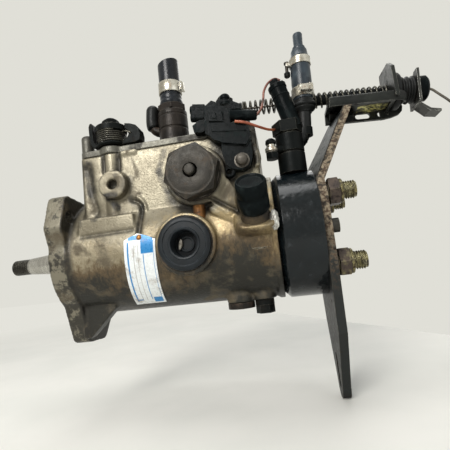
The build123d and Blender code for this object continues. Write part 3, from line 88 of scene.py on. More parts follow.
Array = np.ndarray
Material = bpy.types.Material
Mesh = bpy.types.Mesh
Node = bpy.types.Node
Socket = bpy.types.NodeSocket
Thing = bpy.types.Object
Tree = bpy.types.NodeTree
Point = tuple[float, float, float]
Colour = tuple[int, int, int]
Outline = Sequence[tuple[float, float]]

ALONG: Point = (1.0, 0.0, 0.0)
ACROSS: Point = (0.0, 1.0, 0.0)
UP: Point = (0.0, 0.0, 1.0)
NEARWARD: Point = (0.0, -1.0, 0.0)

COVER_TOP = 74.7
INLET_FOOT = 80.0
CABLE_TILT = math.radians(3.73)
CABLE_START: Point = (139.4, 10.0, 105.8)


def metres(point: Iterable[float]) -> tuple[float, ...]:
    """A point's millimetres in metres."""
    return tuple(float(value) * MM for value in point)


def linked(name: str, data: bpy.types.ID) -> Thing:
    """A new object of the scene that shows the given data."""
    made = bpy.data.objects.new(name, data)
    bpy.context.scene.collection.objects.link(made)
    return made


# ---- places and directions


@dataclass(frozen=True)
class Axes:
    """A local set of axes: an origin, the local x direction and the local z direction."""

    origin: Point
    x: Point = ALONG
    z: Point = UP

    def basis(self) -> Array:
        """The local x, y and z directions as rows."""
        x = np.array(self.x, float) / np.linalg.norm(self.x)
        z = np.array(self.z, float) / np.linalg.norm(self.z)
        return np.stack([x, np.cross(z, x), z])

    def place(self, local: Array) -> Array:
        """Local points a, b, c, held by the last axis, in the part's frame: origin + a x + b y + c z."""
        return np.array(self.origin) + np.asarray(local, float) @ self.basis()

    def moved(self, a: float = 0.0, b: float = 0.0, c: float = 0.0) -> "Axes":
        """These axes with their origin carried a, b and c along themselves."""
        spot = self.place(np.array([a, b, c]))
        return Axes((float(spot[0]), float(spot[1]), float(spot[2])), self.x, self.z)

    def turned(self, degrees: float) -> "Axes":
        """These axes turned about their own z."""
        x, y, _ = self.basis()
        turn = math.radians(degrees)
        new = x * math.cos(turn) + y * math.sin(turn)
        return Axes(self.origin, (float(new[0]), float(new[1]), float(new[2])), self.z)


def upright(x: float, y: float, z: float) -> Axes:
    """Axes whose z points up."""
    return Axes((x, y, z))


def fronting(x: float, y: float, z: float) -> Axes:
    """Axes whose z points toward -Y, with local x along +X and local y up."""
    return Axes((x, y, z), ALONG, NEARWARD)


def endwise(x: float, y: float = 0.0, z: float = 0.0) -> Axes:
    """Axes whose z runs along the shaft, with local x along +Y and local y up."""
    return Axes((x, y, z), ACROSS, ALONG)


NEAR = fronting(0, 0, 0)


def on_cable(x: float) -> Axes:
    """Axes square to the throttle cable where it passes x; z runs along the cable."""
    x0, y0, z0 = CABLE_START
    z = z0 - (x - x0) * math.tan(CABLE_TILT)
    return Axes((x, y0, z), ACROSS, (math.cos(CABLE_TILT), 0.0, -math.sin(CABLE_TILT)))


def cable_run(x0: float, x1: float) -> float:
    """The distance along the cable between two stations."""
    return (x1 - x0) / math.cos(CABLE_TILT)


def on_solenoid(up: float) -> Axes:
    """Axes across the stop solenoid, up millimetres above its seat."""
    lean = math.radians(13.7)
    z = (-math.sin(lean), 0.0, math.cos(lean))
    return Axes((174.1 + z[0] * up, -12.0, 78.9 + z[2] * up), ACROSS, z)


def on_inlet(height: float) -> Axes:
    """Axes across the inlet pipe at a height."""
    lean = math.radians(2.9)
    z = (math.sin(lean), 0.0, math.cos(lean))
    run = (height - INLET_FOOT) / z[2]
    return Axes((183.9 + z[0] * run, -7.5, INLET_FOOT + z[2] * run), ALONG, z)


def on_cold(back: float) -> Axes:
    """Axes across the cold start unit, back millimetres behind its cap."""
    rise = math.radians(48.0)
    z = (0.0, -math.cos(rise), math.sin(rise))
    return Axes((142.3, -62.0 - z[1] * back, 29.3 - z[2] * back), ALONG, z)


# ---- surfaces


@dataclass(frozen=True)
class Groove:
    """A hollow pressed into the near wall of a casting, along a line of x and z."""

    line: tuple[tuple[float, float], ...]
    width: float
    depth: float

    def press(self, points: Array) -> Array:
        """How far each point sinks: depth times exp(-(d / width) squared), d its distance from the line.

        Args:
            points: points in millimetres.

        Returns:
            The depth at each point.
        """
        flat = points[:, [0, 2]]
        nearest = np.full(len(points), np.inf)
        for a, b in zip(np.array(self.line)[:-1], np.array(self.line)[1:]):
            t = np.clip((flat - a) @ (b - a) / np.sum((b - a) ** 2), 0, 1)
            nearest = np.minimum(nearest, np.linalg.norm(flat - a - t[:, None] * (b - a), axis=1))
        return self.depth * np.exp(-((nearest / self.width) ** 2))


@dataclass(frozen=True)
class Paring:
    """A boss on a round wall, cut back to that wall below a height."""

    first_x: float
    last_x: float
    low: float
    high: float
    wall: float
    lip_x: float
    lip: float

    def pare(self, points: Array) -> Array:
        """Draws points in: r' = w + (r - w) s, w the wall's radius and s a smooth step of z from low to high.

        Args:
            points: points in millimetres.

        Returns:
            The points after the cut.
        """
        x, y, z = points.T
        r = np.hypot(y, z)
        wall = np.where(x > self.lip_x, self.lip, self.wall)
        s = np.clip((z - self.low) / (self.high - self.low), 0, 1)
        s = s * s * (3 - 2 * s)
        inside = (x > self.first_x) & (x < self.last_x) & (y < -25) & (r > wall) & (z < self.high)
        scale = np.where(inside, (wall + (r - wall) * s) / np.maximum(r, 1e-9), 1.0)
        return points * np.column_stack([np.ones_like(scale), scale, scale])


class Patch(NamedTuple):
    """A bare surface: its points in millimetres and its faces."""

    points: Array
    faces: list[list[int]]


def around(sides: int) -> Array:
    """Evenly spaced angles round a circle, in radians."""
    return np.linspace(0.0, TAU, sides, endpoint=False)


def cells(index: Array) -> Array:
    """The four corners of each cell in a grid of point numbers."""
    return np.stack([index[:-1, :-1], index[:-1, 1:], index[1:, 1:], index[1:, :-1]], -1).reshape(-1, 4)


def lattice(points: Array, close_rows: bool = False) -> Patch:
    """A surface of rows and columns of points, closed round its columns.

    Args:
        points: an array of rows by columns by 3.
        close_rows: whether the last row joins the first, as on a ring.

    Returns:
        The patch of quads between neighbouring rows and columns.
    """
    rows, cols = points.shape[:2]
    index = np.arange(rows * cols).reshape(rows, cols)
    index = np.hstack([index, index[:, :1]])
    if close_rows:
        index = np.vstack([index, index[:1]])
    return Patch(points.reshape(-1, 3), cells(index).tolist())


def merged(patches: Iterable[Patch]) -> Patch:
    """Several patches as one, each still a shell of its own."""
    points: list[Array] = []
    faces: list[list[int]] = []
    start = 0
    for patch in patches:
        points.append(patch.points)
        faces.extend([[i + start for i in face] for face in patch.faces])
        start += len(patch.points)
    return Patch(np.vstack(points), faces)


def turned(axes: Axes, profile: Outline, sides: int = 56, ring: bool = False) -> Patch:
    """A turned form: p(u, v) = (r(v) cos u, r(v) sin u, h(v)).

    Args:
        axes: the turning axis is its z.
        profile: pairs of radius r and height h; a radius of 0 closes an end.
        sides: how many steps u takes round the axis.
        ring: whether the profile is a closed loop.

    Returns:
        The patch.
    """
    r, h = np.array(profile, float).T
    u = around(sides)
    grid = np.stack([r[:, None] * np.cos(u), r[:, None] * np.sin(u), np.repeat(h[:, None], sides, 1)], -1)
    return lattice(axes.place(grid), close_rows=ring)


def hexagon(axes: Axes, flats: float, height: float, chamfer: float = 1.0, bore: float = 0.0) -> Patch:
    """A nut or bolt head: r(u) = (flats / 2) / cos(((u + 30) mod 60) - 30), cut by 30 degree cones.

    Args:
        axes: the head stands on its origin along its z.
        flats: the width across the flats.
        height: the height of the head.
        chamfer: 1 for a cone that starts inside the flats, 0 for none.
        bore: the radius of a hole through it, or 0.

    Returns:
        The patch.
    """
    sides = 96
    u = around(sides)
    local = np.mod(u + math.pi / 6, math.pi / 3) - math.pi / 6
    corner = (flats / 2) / np.cos(local)
    inner = np.full(sides, flats / 2 * (1.0 - 0.04 * chamfer))
    drop = np.clip(corner - inner, 0, None) * math.tan(math.radians(30)) * chamfer
    core = np.full(sides, bore)
    rows = [
        (core, np.zeros(sides)),
        (inner, np.zeros(sides)),
        (corner, drop * 0.4),
        (corner, height - drop),
        (inner, np.full(sides, height)),
        (core, np.full(sides, height)),
    ]
    grid = np.stack([np.stack([r * np.cos(u), r * np.sin(u), h], -1) for r, h in rows])
    return lattice(axes.place(grid), close_rows=bore > 0)


def swept(line: Array, normal: Array | Point, section: Outline, scale: Array | None = None) -> Patch:
    """A section carried along a line: p(s, k) = line(s) + a_k n(s) + b_k (t(s) x n(s)).

    Args:
        line: the points of the line.
        normal: one direction, or one for each point, that the section's first axis follows.
        section: the closed section's pairs a and b.
        scale: the size of the section at each point.

    Returns:
        The patch, with both ends closed.
    """
    tangent = np.gradient(line, axis=0)
    tangent /= np.linalg.norm(tangent, axis=1, keepdims=True)
    across = np.broadcast_to(normal, line.shape) + 0.0
    across = across - np.sum(across * tangent, 1, keepdims=True) * tangent
    across /= np.linalg.norm(across, axis=1, keepdims=True)
    other = np.cross(tangent, across)
    size = np.ones(len(line)) if scale is None else scale
    a, b = np.array(section, float).T
    grid = (
        line[:, None]
        + (size[:, None] * a)[..., None] * across[:, None]
        + (size[:, None] * b)[..., None] * other[:, None]
    )
    ends = [np.repeat(line[i : i + 1, None], len(a), 1) for i in (0, len(line) - 1)]
    return lattice(np.concatenate([ends[0], grid, ends[1]]))


def disc(radius: float, sides: int = 10) -> list[tuple[float, float]]:
    """The points of a round section."""
    turn = around(sides)
    return list(zip((radius * np.cos(turn)).tolist(), (radius * np.sin(turn)).tolist()))


def smooth_line(route: Sequence[Point], count: int) -> Array:
    """A smooth line through a few points, a uniform Catmull-Rom cubic between each pair:

    q(f) = (2 b + (c - a) f + (2 a - 5 b + 4 c - d) f^2 + (3 b - a - 3 c + d) f^3) / 2.

    Args:
        route: the points that it passes.
        count: how many points it gives.

    Returns:
        The line's points.
    """
    p = np.array(route, float)
    p = np.vstack([2 * p[0] - p[1], p, 2 * p[-1] - p[-2]])
    t = np.linspace(0, len(p) - 3 - 1e-9, count)
    i = t.astype(int)
    f = (t - i)[:, None]
    a, b, c, d = p[i], p[i + 1], p[i + 2], p[i + 3]
    return 0.5 * (2 * b + (c - a) * f + (2 * a - 5 * b + 4 * c - d) * f**2 + (3 * b - a - 3 * c + d) * f**3)


def wound(
    axes: Axes, radius: float, pitch_line: Array, turns: float, section: Outline, start: float = 0.0
) -> Patch:
    """A section carried round a helix: line(s) = (R cos 2 pi N s, R sin 2 pi N s, h(s)).

    Args:
        axes: the helix turns about its z.
        radius: the helix's radius R.
        pitch_line: heights h at evenly spaced s from 0 to 1, between which h runs straight.
        turns: the number of turns N.
        section: the section's pairs, the first outward and the second along the axis.
        start: the angle of the first point, in degrees.

    Returns:
        The patch.
    """
    s = np.linspace(0.0, 1.0, int(turns * 26) + 2)
    turn = TAU * turns * s + math.radians(start)
    height = np.interp(s, np.linspace(0.0, 1.0, len(pitch_line)), pitch_line)
    out = np.stack([np.cos(turn), np.sin(turn), np.zeros_like(turn)], -1)
    line = out * radius + np.stack([0 * height, 0 * height, height], -1)
    return swept(axes.place(line), out @ axes.basis(), section)


def thread(axes: Axes, radius: float, pitch: float, length: float) -> Patch:
    """A screw thread's ridge, a blunt triangle wound at the given pitch, standing out to a radius."""
    shape = ((-0.62, -0.46), (0.0, -0.08), (0.0, 0.08), (-0.62, 0.46))
    ridge = [(out * pitch, up * pitch) for out, up in shape]
    return wound(axes, radius, np.array([pitch * 0.5, length - pitch * 0.5]), length / pitch - 1.0, ridge)


def plate(axes: Axes, outline: Outline, low: float, high: float) -> Patch:
    """A flat plate: its outline at two heights of its axes, joined round the edge."""
    flat = np.array(outline, float)
    count = len(flat)
    layers = [np.column_stack([flat, np.full(count, h)]) for h in (low, high)]
    walls = [[i, (i + 1) % count, count + (i + 1) % count, count + i] for i in range(count)]
    ends = [list(range(count))[::-1], list(range(count, 2 * count))]
    return Patch(axes.place(np.vstack(layers)), walls + ends)


def block(axes: Axes, width: float, depth: float, low: float, high: float) -> Patch:
    """A rectangular piece of a larger form, to be rounded by its bevel."""
    w, d = width / 2, depth / 2
    return plate(axes, [(-w, -d), (w, -d), (w, d), (-w, d)], low, high)


def arc(
    radius: float, first: float, last: float, steps: int, at: tuple[float, float] = (0.0, 0.0)
) -> list[tuple[float, float]]:
    """Points of an arc from one angle to another, in degrees."""
    turn = np.radians(np.linspace(first, last, steps))
    return [(at[0] + radius * math.cos(t), at[1] + radius * math.sin(t)) for t in turn.tolist()]


# ---- shader building


def linear(colour: Colour) -> tuple[float, float, float, float]:
    """A display colour from 0 to 255 as scene-linear red, green, blue and alpha."""
    c = np.array(colour, float) / 255.0
    out = np.where(c <= 0.04045, c / 12.92, ((c + 0.055) / 1.055) ** 2.4)
    return (float(out[0]), float(out[1]), float(out[2]), 1.0)


@dataclass
class Graph:
    """A node tree under construction, with short calls for the nodes that the finishes use."""

    tree: Tree

    def add(self, kind: str, inputs: dict[str, object] | None = None, **settings: object) -> Node:
        """Adds a node.

        Args:
            kind: Blender's name for the node, less its ShaderNode.
            inputs: values or sockets for its named inputs.
            settings: the node's own options.

        Returns:
            The node.
        """
        node = self.tree.nodes.new("ShaderNode" + kind)
        for name, value in settings.items():
            setattr(node, name, value)
        for name, value in (inputs or {}).items():
            self.feed(node.inputs[name], value)
        return node

    def fed(self, node: Node, *values: object) -> Node:
        """Feeds a node's first inputs in order."""
        for socket, value in zip(node.inputs, values):
            self.feed(socket, value)
        return node

    def feed(self, socket: Socket, value: object) -> None:
        """Links a socket to another, or sets its value."""
        if isinstance(value, Socket):
            self.tree.links.new(value, socket)
        else:
            socket.default_value = value

    def maths(self, operation: str, a: object, b: object = 0.0, clamp: bool = False) -> Socket:
        """The result of one arithmetic step."""
        return self.fed(self.add("Math", operation=operation, use_clamp=clamp), a, b).outputs[0]

    def blend(self, amount: object, first: object, second: object) -> Socket:
        """A colour between two, by a mask."""
        node = self.add("Mix", data_type="RGBA", clamp_factor=True)
        self.feed(node.inputs[0], amount)
        self.feed(node.inputs[6], first)
        self.feed(node.inputs[7], second)
        return node.outputs[2]

    def ramp(self, value: object, start: float, end: float, low: float = 0.0, high: float = 1.0) -> Socket:
        """A smooth step: from low at start to high at end."""
        node = self.add(
            "MapRange",
            {"Value": value, "From Min": start, "From Max": end, "To Min": low, "To Max": high},
            interpolation_type="SMOOTHSTEP",
        )
        return node.outputs[0]

    def noise(self, where: object, scale: float, detail: float = 3.0, rough: float = 0.55) -> Socket:
        """Cloudy noise of so many features a metre."""
        node = self.add("TexNoise", {"Vector": where, "Scale": scale, "Detail": detail, "Roughness": rough})
        return node.outputs[0]

    def stretched(self, where: object, scale: Point) -> Socket:
        """Coordinates drawn out along some axes."""
        return self.add("Mapping", {"Vector": where, "Scale": scale}).outputs[0]

    def smear(
        self, where: object, start: tuple[float, float], end: tuple[float, float], width: float
    ) -> Socket:
        """A soft mark along a line seen from the near side, from its middle out to a width in millimetres."""
        flat = self.vector("MULTIPLY", where, (1.0, 0.0, 1.0))
        first = (start[0] * MM, 0.0, start[1] * MM)
        run = ((end[0] - start[0]) * MM, 0.0, (end[1] - start[1]) * MM)
        square = run[0] ** 2 + run[2] ** 2
        local = self.vector("SUBTRACT", flat, first)
        dot = self.vector("DOT_PRODUCT", local, (run[0] / square, 0.0, run[2] / square), "Value")
        nearest = self.fed(self.add("VectorMath", operation="SCALE"), run)
        self.feed(nearest.inputs["Scale"], self.maths("MULTIPLY", dot, 1.0, clamp=True))
        away = self.vector("DISTANCE", local, nearest.outputs[0], "Value")
        return self.ramp(away, width * MM, width * 0.35 * MM)

    def vector(self, operation: str, a: object, b: object, give: str = "Vector") -> Socket:
        """The result of one step on two vectors; one that gives a number gives its Value."""
        return self.fed(self.add("VectorMath", operation=operation), a, b).outputs[give]

    def here(self) -> Socket:
        """The shaded point's place on its object, in metres."""
        return self.add("TexCoord").outputs["Object"]

    def split(self, where: object) -> list[Socket]:
        """A vector's x, y and z."""
        return list(self.add("SeparateXYZ", {"Vector": where}).outputs)

    def times(self, a: object, b: object) -> Socket:
        """The product of two numbers."""
        return self.maths("MULTIPLY", a, b)

    def tint(self, amount: object, colour: object, tone: Colour) -> Socket:
        """A colour drawn toward a display tone, by a mask."""
        return self.blend(amount, colour, linear(tone))

    def viewed(self) -> Socket:
        """1 for the rays that show the surroundings: camera, mirrored and transmitted ones."""
        rays = self.add("LightPath").outputs
        mirrored = self.maths("MAXIMUM", rays["Is Glossy Ray"], rays["Is Transmission Ray"])
        return self.maths("MAXIMUM", rays["Is Camera Ray"], mirrored)

    def mixed(self, amount: object, first: Node, second: Node) -> Socket:
        """A shader between two, by a mask."""
        return self.fed(self.add("MixShader"), amount, first.outputs[0], second.outputs[0]).outputs[0]

    def group(self, tree: Tree, values: dict[str, object]) -> Socket:
        """Places a shared effect with its own values, and gives its first output."""
        node = self.add("Group", node_tree=tree)
        for name, value in values.items():
            self.feed(node.inputs[name], value)
        return node.outputs[0]


def new_effect(name: str, numbers: dict[str, float], output: str) -> tuple[Graph, Node, Node]:
    """Starts a shared effect.

    Args:
        name: the group's name.
        numbers: its inputs and their first values.
        output: the name of what it puts out.

    Returns:
        Its graph, its input node and its output node.
    """
    tree = bpy.data.node_groups.new(name, "ShaderNodeTree")
    for label, value in numbers.items():
        socket = tree.interface.new_socket(name=label, in_out="INPUT", socket_type="NodeSocketFloat")
        socket.default_value = value
    tree.interface.new_socket(name=output, in_out="OUTPUT", socket_type="NodeSocketFloat")
    graph = Graph(tree)
    return graph, tree.nodes.new("NodeGroupInput"), tree.nodes.new("NodeGroupOutput")


class Effects:
    """The effects that several finishes share, each built once."""

    def __init__(self) -> None:
        """Builds the four groups."""
        self.edges = self._edges()
        self.corners = self._corner_dirt_and_shade()
        self.clouds = self._clouds()
        self.skin = self._skin()

    @staticmethod
    def _edges() -> Tree:
        """Worn edges: where a rounded normal leaves the true one, broken up by noise."""
        g, given, out = new_effect("worn_edges", {"Radius": 0.0006, "Amount": 1.0, "Breaks": 220.0}, "Mask")
        soft = g.add("Bevel", {"Radius": given.outputs["Radius"]}, samples=4)
        true = g.add("NewGeometry")
        dot = g.vector("DOT_PRODUCT", soft.outputs[0], true.outputs["Normal"], "Value")
        lean = g.maths("SUBTRACT", 1.0, dot)
        noise = g.add("TexNoise", {"Vector": g.here(), "Scale": given.outputs["Breaks"], "Detail": 4.0})
        broken = g.ramp(noise.outputs[0], 0.34, 0.62)
        strong = g.times(g.ramp(lean, 0.01, 0.16), given.outputs["Amount"])
        g.feed(out.inputs[0], g.maths("MULTIPLY", strong, broken, clamp=True))
        return g.tree

    @staticmethod
    def _corner_dirt_and_shade() -> Tree:
        """Dirt held in inner corners, with painted shade: ambient occlusion darkens them as if shaded."""
        g, given, out = new_effect("corner_dirt_and_shade", {"Reach": 0.006, "Amount": 1.0}, "Mask")
        # painted shade: the ambient occlusion darkening stands for dirt and shade in corners together
        shade = g.add("AmbientOcclusion", {"Distance": given.outputs["Reach"]}, samples=5)
        uneven = g.ramp(g.noise(g.here(), 90.0), 0.25, 0.7, 0.55, 1.0)
        held = g.times(g.ramp(shade.outputs["AO"], 0.9, 0.35), uneven)
        g.feed(out.inputs[0], g.maths("MULTIPLY", held, given.outputs["Amount"], clamp=True))
        return g.tree

    @staticmethod
    def _clouds() -> Tree:
        """Blotches: noise cut at a level, with a soft rim."""
        g, given, out = new_effect("blotches", {"Scale": 40.0, "Level": 0.5, "Rim": 0.1}, "Mask")
        where = g.here()
        noise = g.add(
            "TexNoise",
            {
                "Vector": where, "Scale": given.outputs["Scale"], "Detail": 6.0, "Roughness": 0.62,
                "Distortion": 0.35,
            },
        )
        node = g.add("MapRange", interpolation_type="SMOOTHSTEP")
        g.feed(node.inputs["Value"], noise.outputs[0])
        g.feed(node.inputs["From Min"], g.maths("SUBTRACT", given.outputs["Level"], given.outputs["Rim"]))
        g.feed(node.inputs["From Max"], g.maths("ADD", given.outputs["Level"], given.outputs["Rim"]))
        g.feed(out.inputs[0], node.outputs[0])
        return g.tree

    @staticmethod
    def _skin() -> Tree:
        """A cast or moulded skin: fine grain with shallow pits."""
        g, given, out = new_effect("cast_skin", {"Scale": 900.0, "Pits": 0.5}, "Height")
        where = g.here()
        fine = g.add("TexNoise", {"Vector": where, "Scale": given.outputs["Scale"], "Detail": 3.0})
        cells = g.add("TexVoronoi", {"Vector": where, "Scale": given.outputs["Scale"]})
        pit = g.ramp(cells.outputs["Distance"], 0.05, 0.4)
        g.feed(out.inputs[0], g.maths("ADD", fine.outputs[0], g.times(pit, given.outputs["Pits"])))
        return g.tree


# ---- finishes


@dataclass(frozen=True)
class Finish:
    """A used surface: two tones, blotches, dirt and painted shade in corners, bare edges and a fine relief.
    """

    name: str
    tone: Colour
    tone2: Colour
    blotch: Colour = (60, 50, 40)
    level: float = 0.62
    scale: float = 55.0
    # the colour of dirt and painted shade laid in inner corners
    dirt_and_shade: Colour = (22, 19, 16)
    hold: float = 0.7
    bare: Colour = (170, 165, 155)
    wear: float = 0.4
    metal: float = 0.0
    bare_metal: float = 0.85
    rough: float = 0.5
    rough_blotch: float = 0.7
    bare_rough: float = 0.35
    grain: float = 900.0
    depth: float = 0.05
    round_mm: float = 0.45
    coat: float = 0.0
    specular: float = 0.5

    def extra(self, g: Graph, where: object, colour: object) -> object:
        """What a special finish adds to the colour; a plain one adds nothing."""
        return colour

    def material(self, effects: Effects) -> Material:
        """Builds the material.

        Args:
            effects: the shared groups.

        Returns:
            The material.
        """
        made = bpy.data.materials.new(self.name)
        made.use_nodes = True
        g = Graph(made.node_tree)
        shader = made.node_tree.nodes["Principled BSDF"]
        where = g.here()
        broad = g.ramp(g.noise(where, self.scale * 0.6, 4.0), 0.35, 0.65)
        blot = g.group(effects.clouds, {"Scale": self.scale, "Level": self.level, "Rim": 0.09})
        # painted shade: the corner mask darkens inner corners, for dirt and shade together
        dirt_and_shade = g.group(effects.corners, {"Amount": self.hold})
        worn = g.group(effects.edges, {"Radius": self.round_mm * MM * 1.4, "Amount": self.wear})
        colour = g.blend(broad, linear(self.tone), linear(self.tone2))
        colour = self.extra(g, where, colour)
        for mask, tone in ((blot, self.blotch), (dirt_and_shade, self.dirt_and_shade), (worn, self.bare)):
            colour = g.tint(mask, colour, tone)
        g.feed(shader.inputs["Base Color"], colour)
        metal = g.ramp(worn, 0.0, 1.0, self.metal, self.bare_metal)
        clean = g.maths("SUBTRACT", 1.0, g.maths("MAXIMUM", dirt_and_shade, g.times(blot, 0.8)), clamp=True)
        g.feed(shader.inputs["Metallic"], g.maths("MULTIPLY", metal, clean, clamp=True))
        rough = g.ramp(g.maths("MAXIMUM", blot, dirt_and_shade), 0.0, 1.0, self.rough, self.rough_blotch)
        fine = g.ramp(g.noise(where, 420.0, 3.0), 0.3, 0.7, -0.06, 0.06)
        shine = g.times(worn, self.rough - self.bare_rough)
        rough = g.maths("SUBTRACT", g.maths("ADD", rough, fine), shine, clamp=True)
        g.feed(shader.inputs["Roughness"], rough)
        shader.inputs["Coat Weight"].default_value = self.coat
        shader.inputs["Coat Roughness"].default_value = 0.25
        shader.inputs["Specular IOR Level"].default_value = self.specular
        skin = g.group(effects.skin, {"Scale": self.grain})
        soft = g.add("Bevel", {"Radius": self.round_mm * MM}, samples=4)
        bump = g.add("Bump", {"Height": skin, "Distance": self.depth * MM, "Normal": soft.outputs[0]})
        g.feed(shader.inputs["Normal"], bump.outputs[0])
        return made


@dataclass(frozen=True)
class OilyCast(Finish):
    """Cast aluminium, clean above, burnt brown at the waist, darker towards the bottom, and streaked with
    soot and painted shade.
    """

    # a golden tone, partly a painted highlight along the top of the round body
    gold_and_highlight: Colour = (158, 136, 92)
    waist: Colour = (86, 70, 48)
    below: Colour = (40, 39, 34)
    rim: Colour = (116, 111, 96)
    # soot, and painted shade in recesses, under bosses and on the flange's back
    soot_and_shade: Colour = (36, 34, 30)
    speck: Colour = (84, 76, 60)
    soot_and_shade_streaks: tuple[tuple[float, float, float, float, float, float], ...] = (
        (26.4, 64, 28.4, 44, 5, 0.9), (28, 46, 33, 24, 3, 0.8), (39.2, 72, 39, 58, 2.4, 0.85),
        (51, 72, 50, 57, 2.6, 0.9), (41.5, 38, 49, 38.5, 2.6, 1), (44.5, 36.5, 47.5, 30.5, 3, 1),
        (50.5, 52, 51.5, 44, 1.6, 0.8), (36, 52, 35.5, 45, 1.4, 0.8), (84, 66, 79, 52, 2.4, 0.7),
        (79, 52, 84, 38, 3, 0.85), (56, 42, 58, 50, 3, 0.6), (58, 35, 64.5, 29, 4, 0.75),
        (64.8, 29, 64.2, 12, 2.6, 0.9), (23, 11.8, 60, 12.6, 2, 0.6), (88, 33, 96, 25, 7, 0.9),
        (96, 24, 112, 22, 5.5, 0.85), (114, 27, 142, 8, 2.6, 0.85), (132, 20, 140, 12, 6, 0.7),
        (141, 70, 147, 60, 5, 0.7), (122, 66, 125, 46, 5.5, 0.95), (126, 46, 129, 40, 4, 0.9),
        (138, 72, 149, 69, 5.5, 0.9), (147, 66, 147, 48, 2.6, 0.9), (136, 66, 141, 44, 2.6, 0.9),
        (21.5, 68, 22.5, 20, 1.8, 0.6),
    )

    def extra(self, g: Graph, where: object, colour: object) -> object:
        """Belts by height, the upper one partly a painted highlight and the lower ones darker towards the
        bottom, dark pores, streaks of soot and painted shade on the near wall, and the flange's rim, darker
        towards the bottom, and its back, darkened with soot and painted shade.
        """
        x, y, z = g.split(where)
        wander = g.ramp(g.noise(where, 26.0, 5.0, 0.6), 0.2, 0.8, -0.016, 0.016)
        drawn = g.noise(g.stretched(where, (1.0, 1.0, 0.45)), 330.0, 5.0, 0.75)
        level = g.maths("ADD", g.maths("ADD", z, wander), g.ramp(drawn, 0.3, 0.7, -0.006, 0.006))
        level = g.maths("SUBTRACT", level, g.ramp(x, 0.055, 0.100, -0.006, 0.004))
        pores = g.ramp(g.noise(where, 620.0, 4.0, 0.7), 0.57, 0.68, 0.0, 0.75)
        colour = g.tint(pores, colour, self.speck)
        # painted highlight: the golden belt near the top of the round body is partly a warm tone and partly
        # light painted in
        warm_and_lit = g.times(g.ramp(level, 0.026, 0.012), g.ramp(x, 0.070, 0.095, 0.15, 0.6))
        colour = g.tint(warm_and_lit, colour, self.gold_and_highlight)
        # darker towards the bottom: a brown belt at the waist, then a dark one lower down
        colour = g.tint(g.ramp(level, 0.004, -0.012, 0.0, 0.92), colour, self.waist)
        colour = g.tint(g.ramp(level, -0.007, -0.027), colour, self.below)
        near = g.ramp(y, -0.018, -0.028)
        broken = g.ramp(g.noise(where, 180.0, 4.0, 0.65), 0.30, 0.60, 0.45, 1.0)
        # painted shade and soot: dark streaks in the near wall's recesses, under its bosses and beside the
        # switch
        for x0, z0, x1, z1, width, strength in self.soot_and_shade_streaks:
            mark = g.times(g.smear(where, (x0, z0), (x1, z1), width * 1.25), g.times(near, broken))
            colour = g.tint(g.times(mark, strength), colour, self.soot_and_shade)
        along = g.maths("ADD", x, g.times(wander, 0.15))
        colour = g.tint(g.ramp(along, 0.0145, 0.0115), colour, self.rim)
        # the flange's rim darker towards the bottom
        lower = g.ramp(z, 0.030, -0.035, -0.06, 0.07)
        darker_low = g.ramp(g.maths("ADD", g.noise(where, 105.0, 7.0, 0.75), lower), 0.47, 0.56)
        colour = g.tint(g.times(darker_low, g.ramp(x, 0.0150, 0.0120, 0.0, 0.88)), colour, self.soot_and_shade)
        # painted shade: the flange's back face and the body beside it are darkened as if in shade, with some
        # soot
        back = g.times(g.ramp(x, 0.0112, 0.0124), g.ramp(x, 0.0185, 0.0140))
        return g.tint(g.times(back, 0.92), colour, self.soot_and_shade)


@dataclass(frozen=True)
class CutPlate(Finish):
    """Blackened plate whose cut edges are bare and rust-spotted high up and grey lower down."""

    cut: Colour = (134, 122, 103)
    rust: Colour = (72, 58, 47)
    grey: Colour = (40, 42, 41)
    near_edge: tuple[tuple[float, float], ...] = ((-12, -104), (-33, -66), (-38, -20), (-38, 20))
    near_strut: tuple[tuple[float, float], ...] = ((-30, 35), (-7.5, 87.2))
    far_edge: tuple[tuple[float, float], ...] = (
        (8, -104), (27, -66), (38, -20), (38, 35), (30, 78), (28.5, 83.6)
    )
    bend: tuple[float, float, float] = (0.1830, 0.031, 0.528)

    def extra(self, g: Graph, where: object, colour: object) -> object:
        """Edges found by their distance n . (p - a) in from each straight length, the least of them kept."""
        least = None
        for line, side in ((self.near_edge, 1.0), (self.near_strut, 1.0), (self.far_edge, -1.0)):
            for (y0, z0), (y1, z1) in zip(line, line[1:]):
                size = math.hypot(y1 - y0, z1 - z0)
                n = ((z1 - z0) / size * side, -(y1 - y0) / size * side)
                dot = g.vector("DOT_PRODUCT", where, (0.0, n[0], n[1]), "Value")
                deep = g.maths("SUBTRACT", dot, (y0 * n[0] + z0 * n[1]) * MM)
                least = deep if least is None else g.maths("MINIMUM", least, deep)
        x, _, z = g.split(where)
        edge = g.ramp(least, 0.0011, 0.0005)
        spots = g.ramp(g.noise(where, 520.0, 5.0, 0.7), 0.42, 0.60)
        bare = g.blend(spots, linear(self.cut), linear(self.rust))
        bare = g.tint(g.ramp(g.noise(where, 300.0, 4.0, 0.7), 0.50, 0.60, 0.0, 0.8), bare, self.tone)
        face_x, fold_z, slope = self.bend
        lean = g.times(g.maths("MAXIMUM", g.maths("SUBTRACT", z, fold_z), 0.0), slope)
        off = g.maths("SUBTRACT", g.maths("SUBTRACT", x, face_x), lean)
        bare = g.tint(g.ramp(off, 0.0006, -0.0006), bare, self.tone)
        low = g.ramp(g.maths("ADD", z, g.ramp(spots, 0.0, 1.0, -0.012, 0.012)), -0.008, -0.036)
        return g.blend(edge, colour, g.tint(low, bare, self.grey))


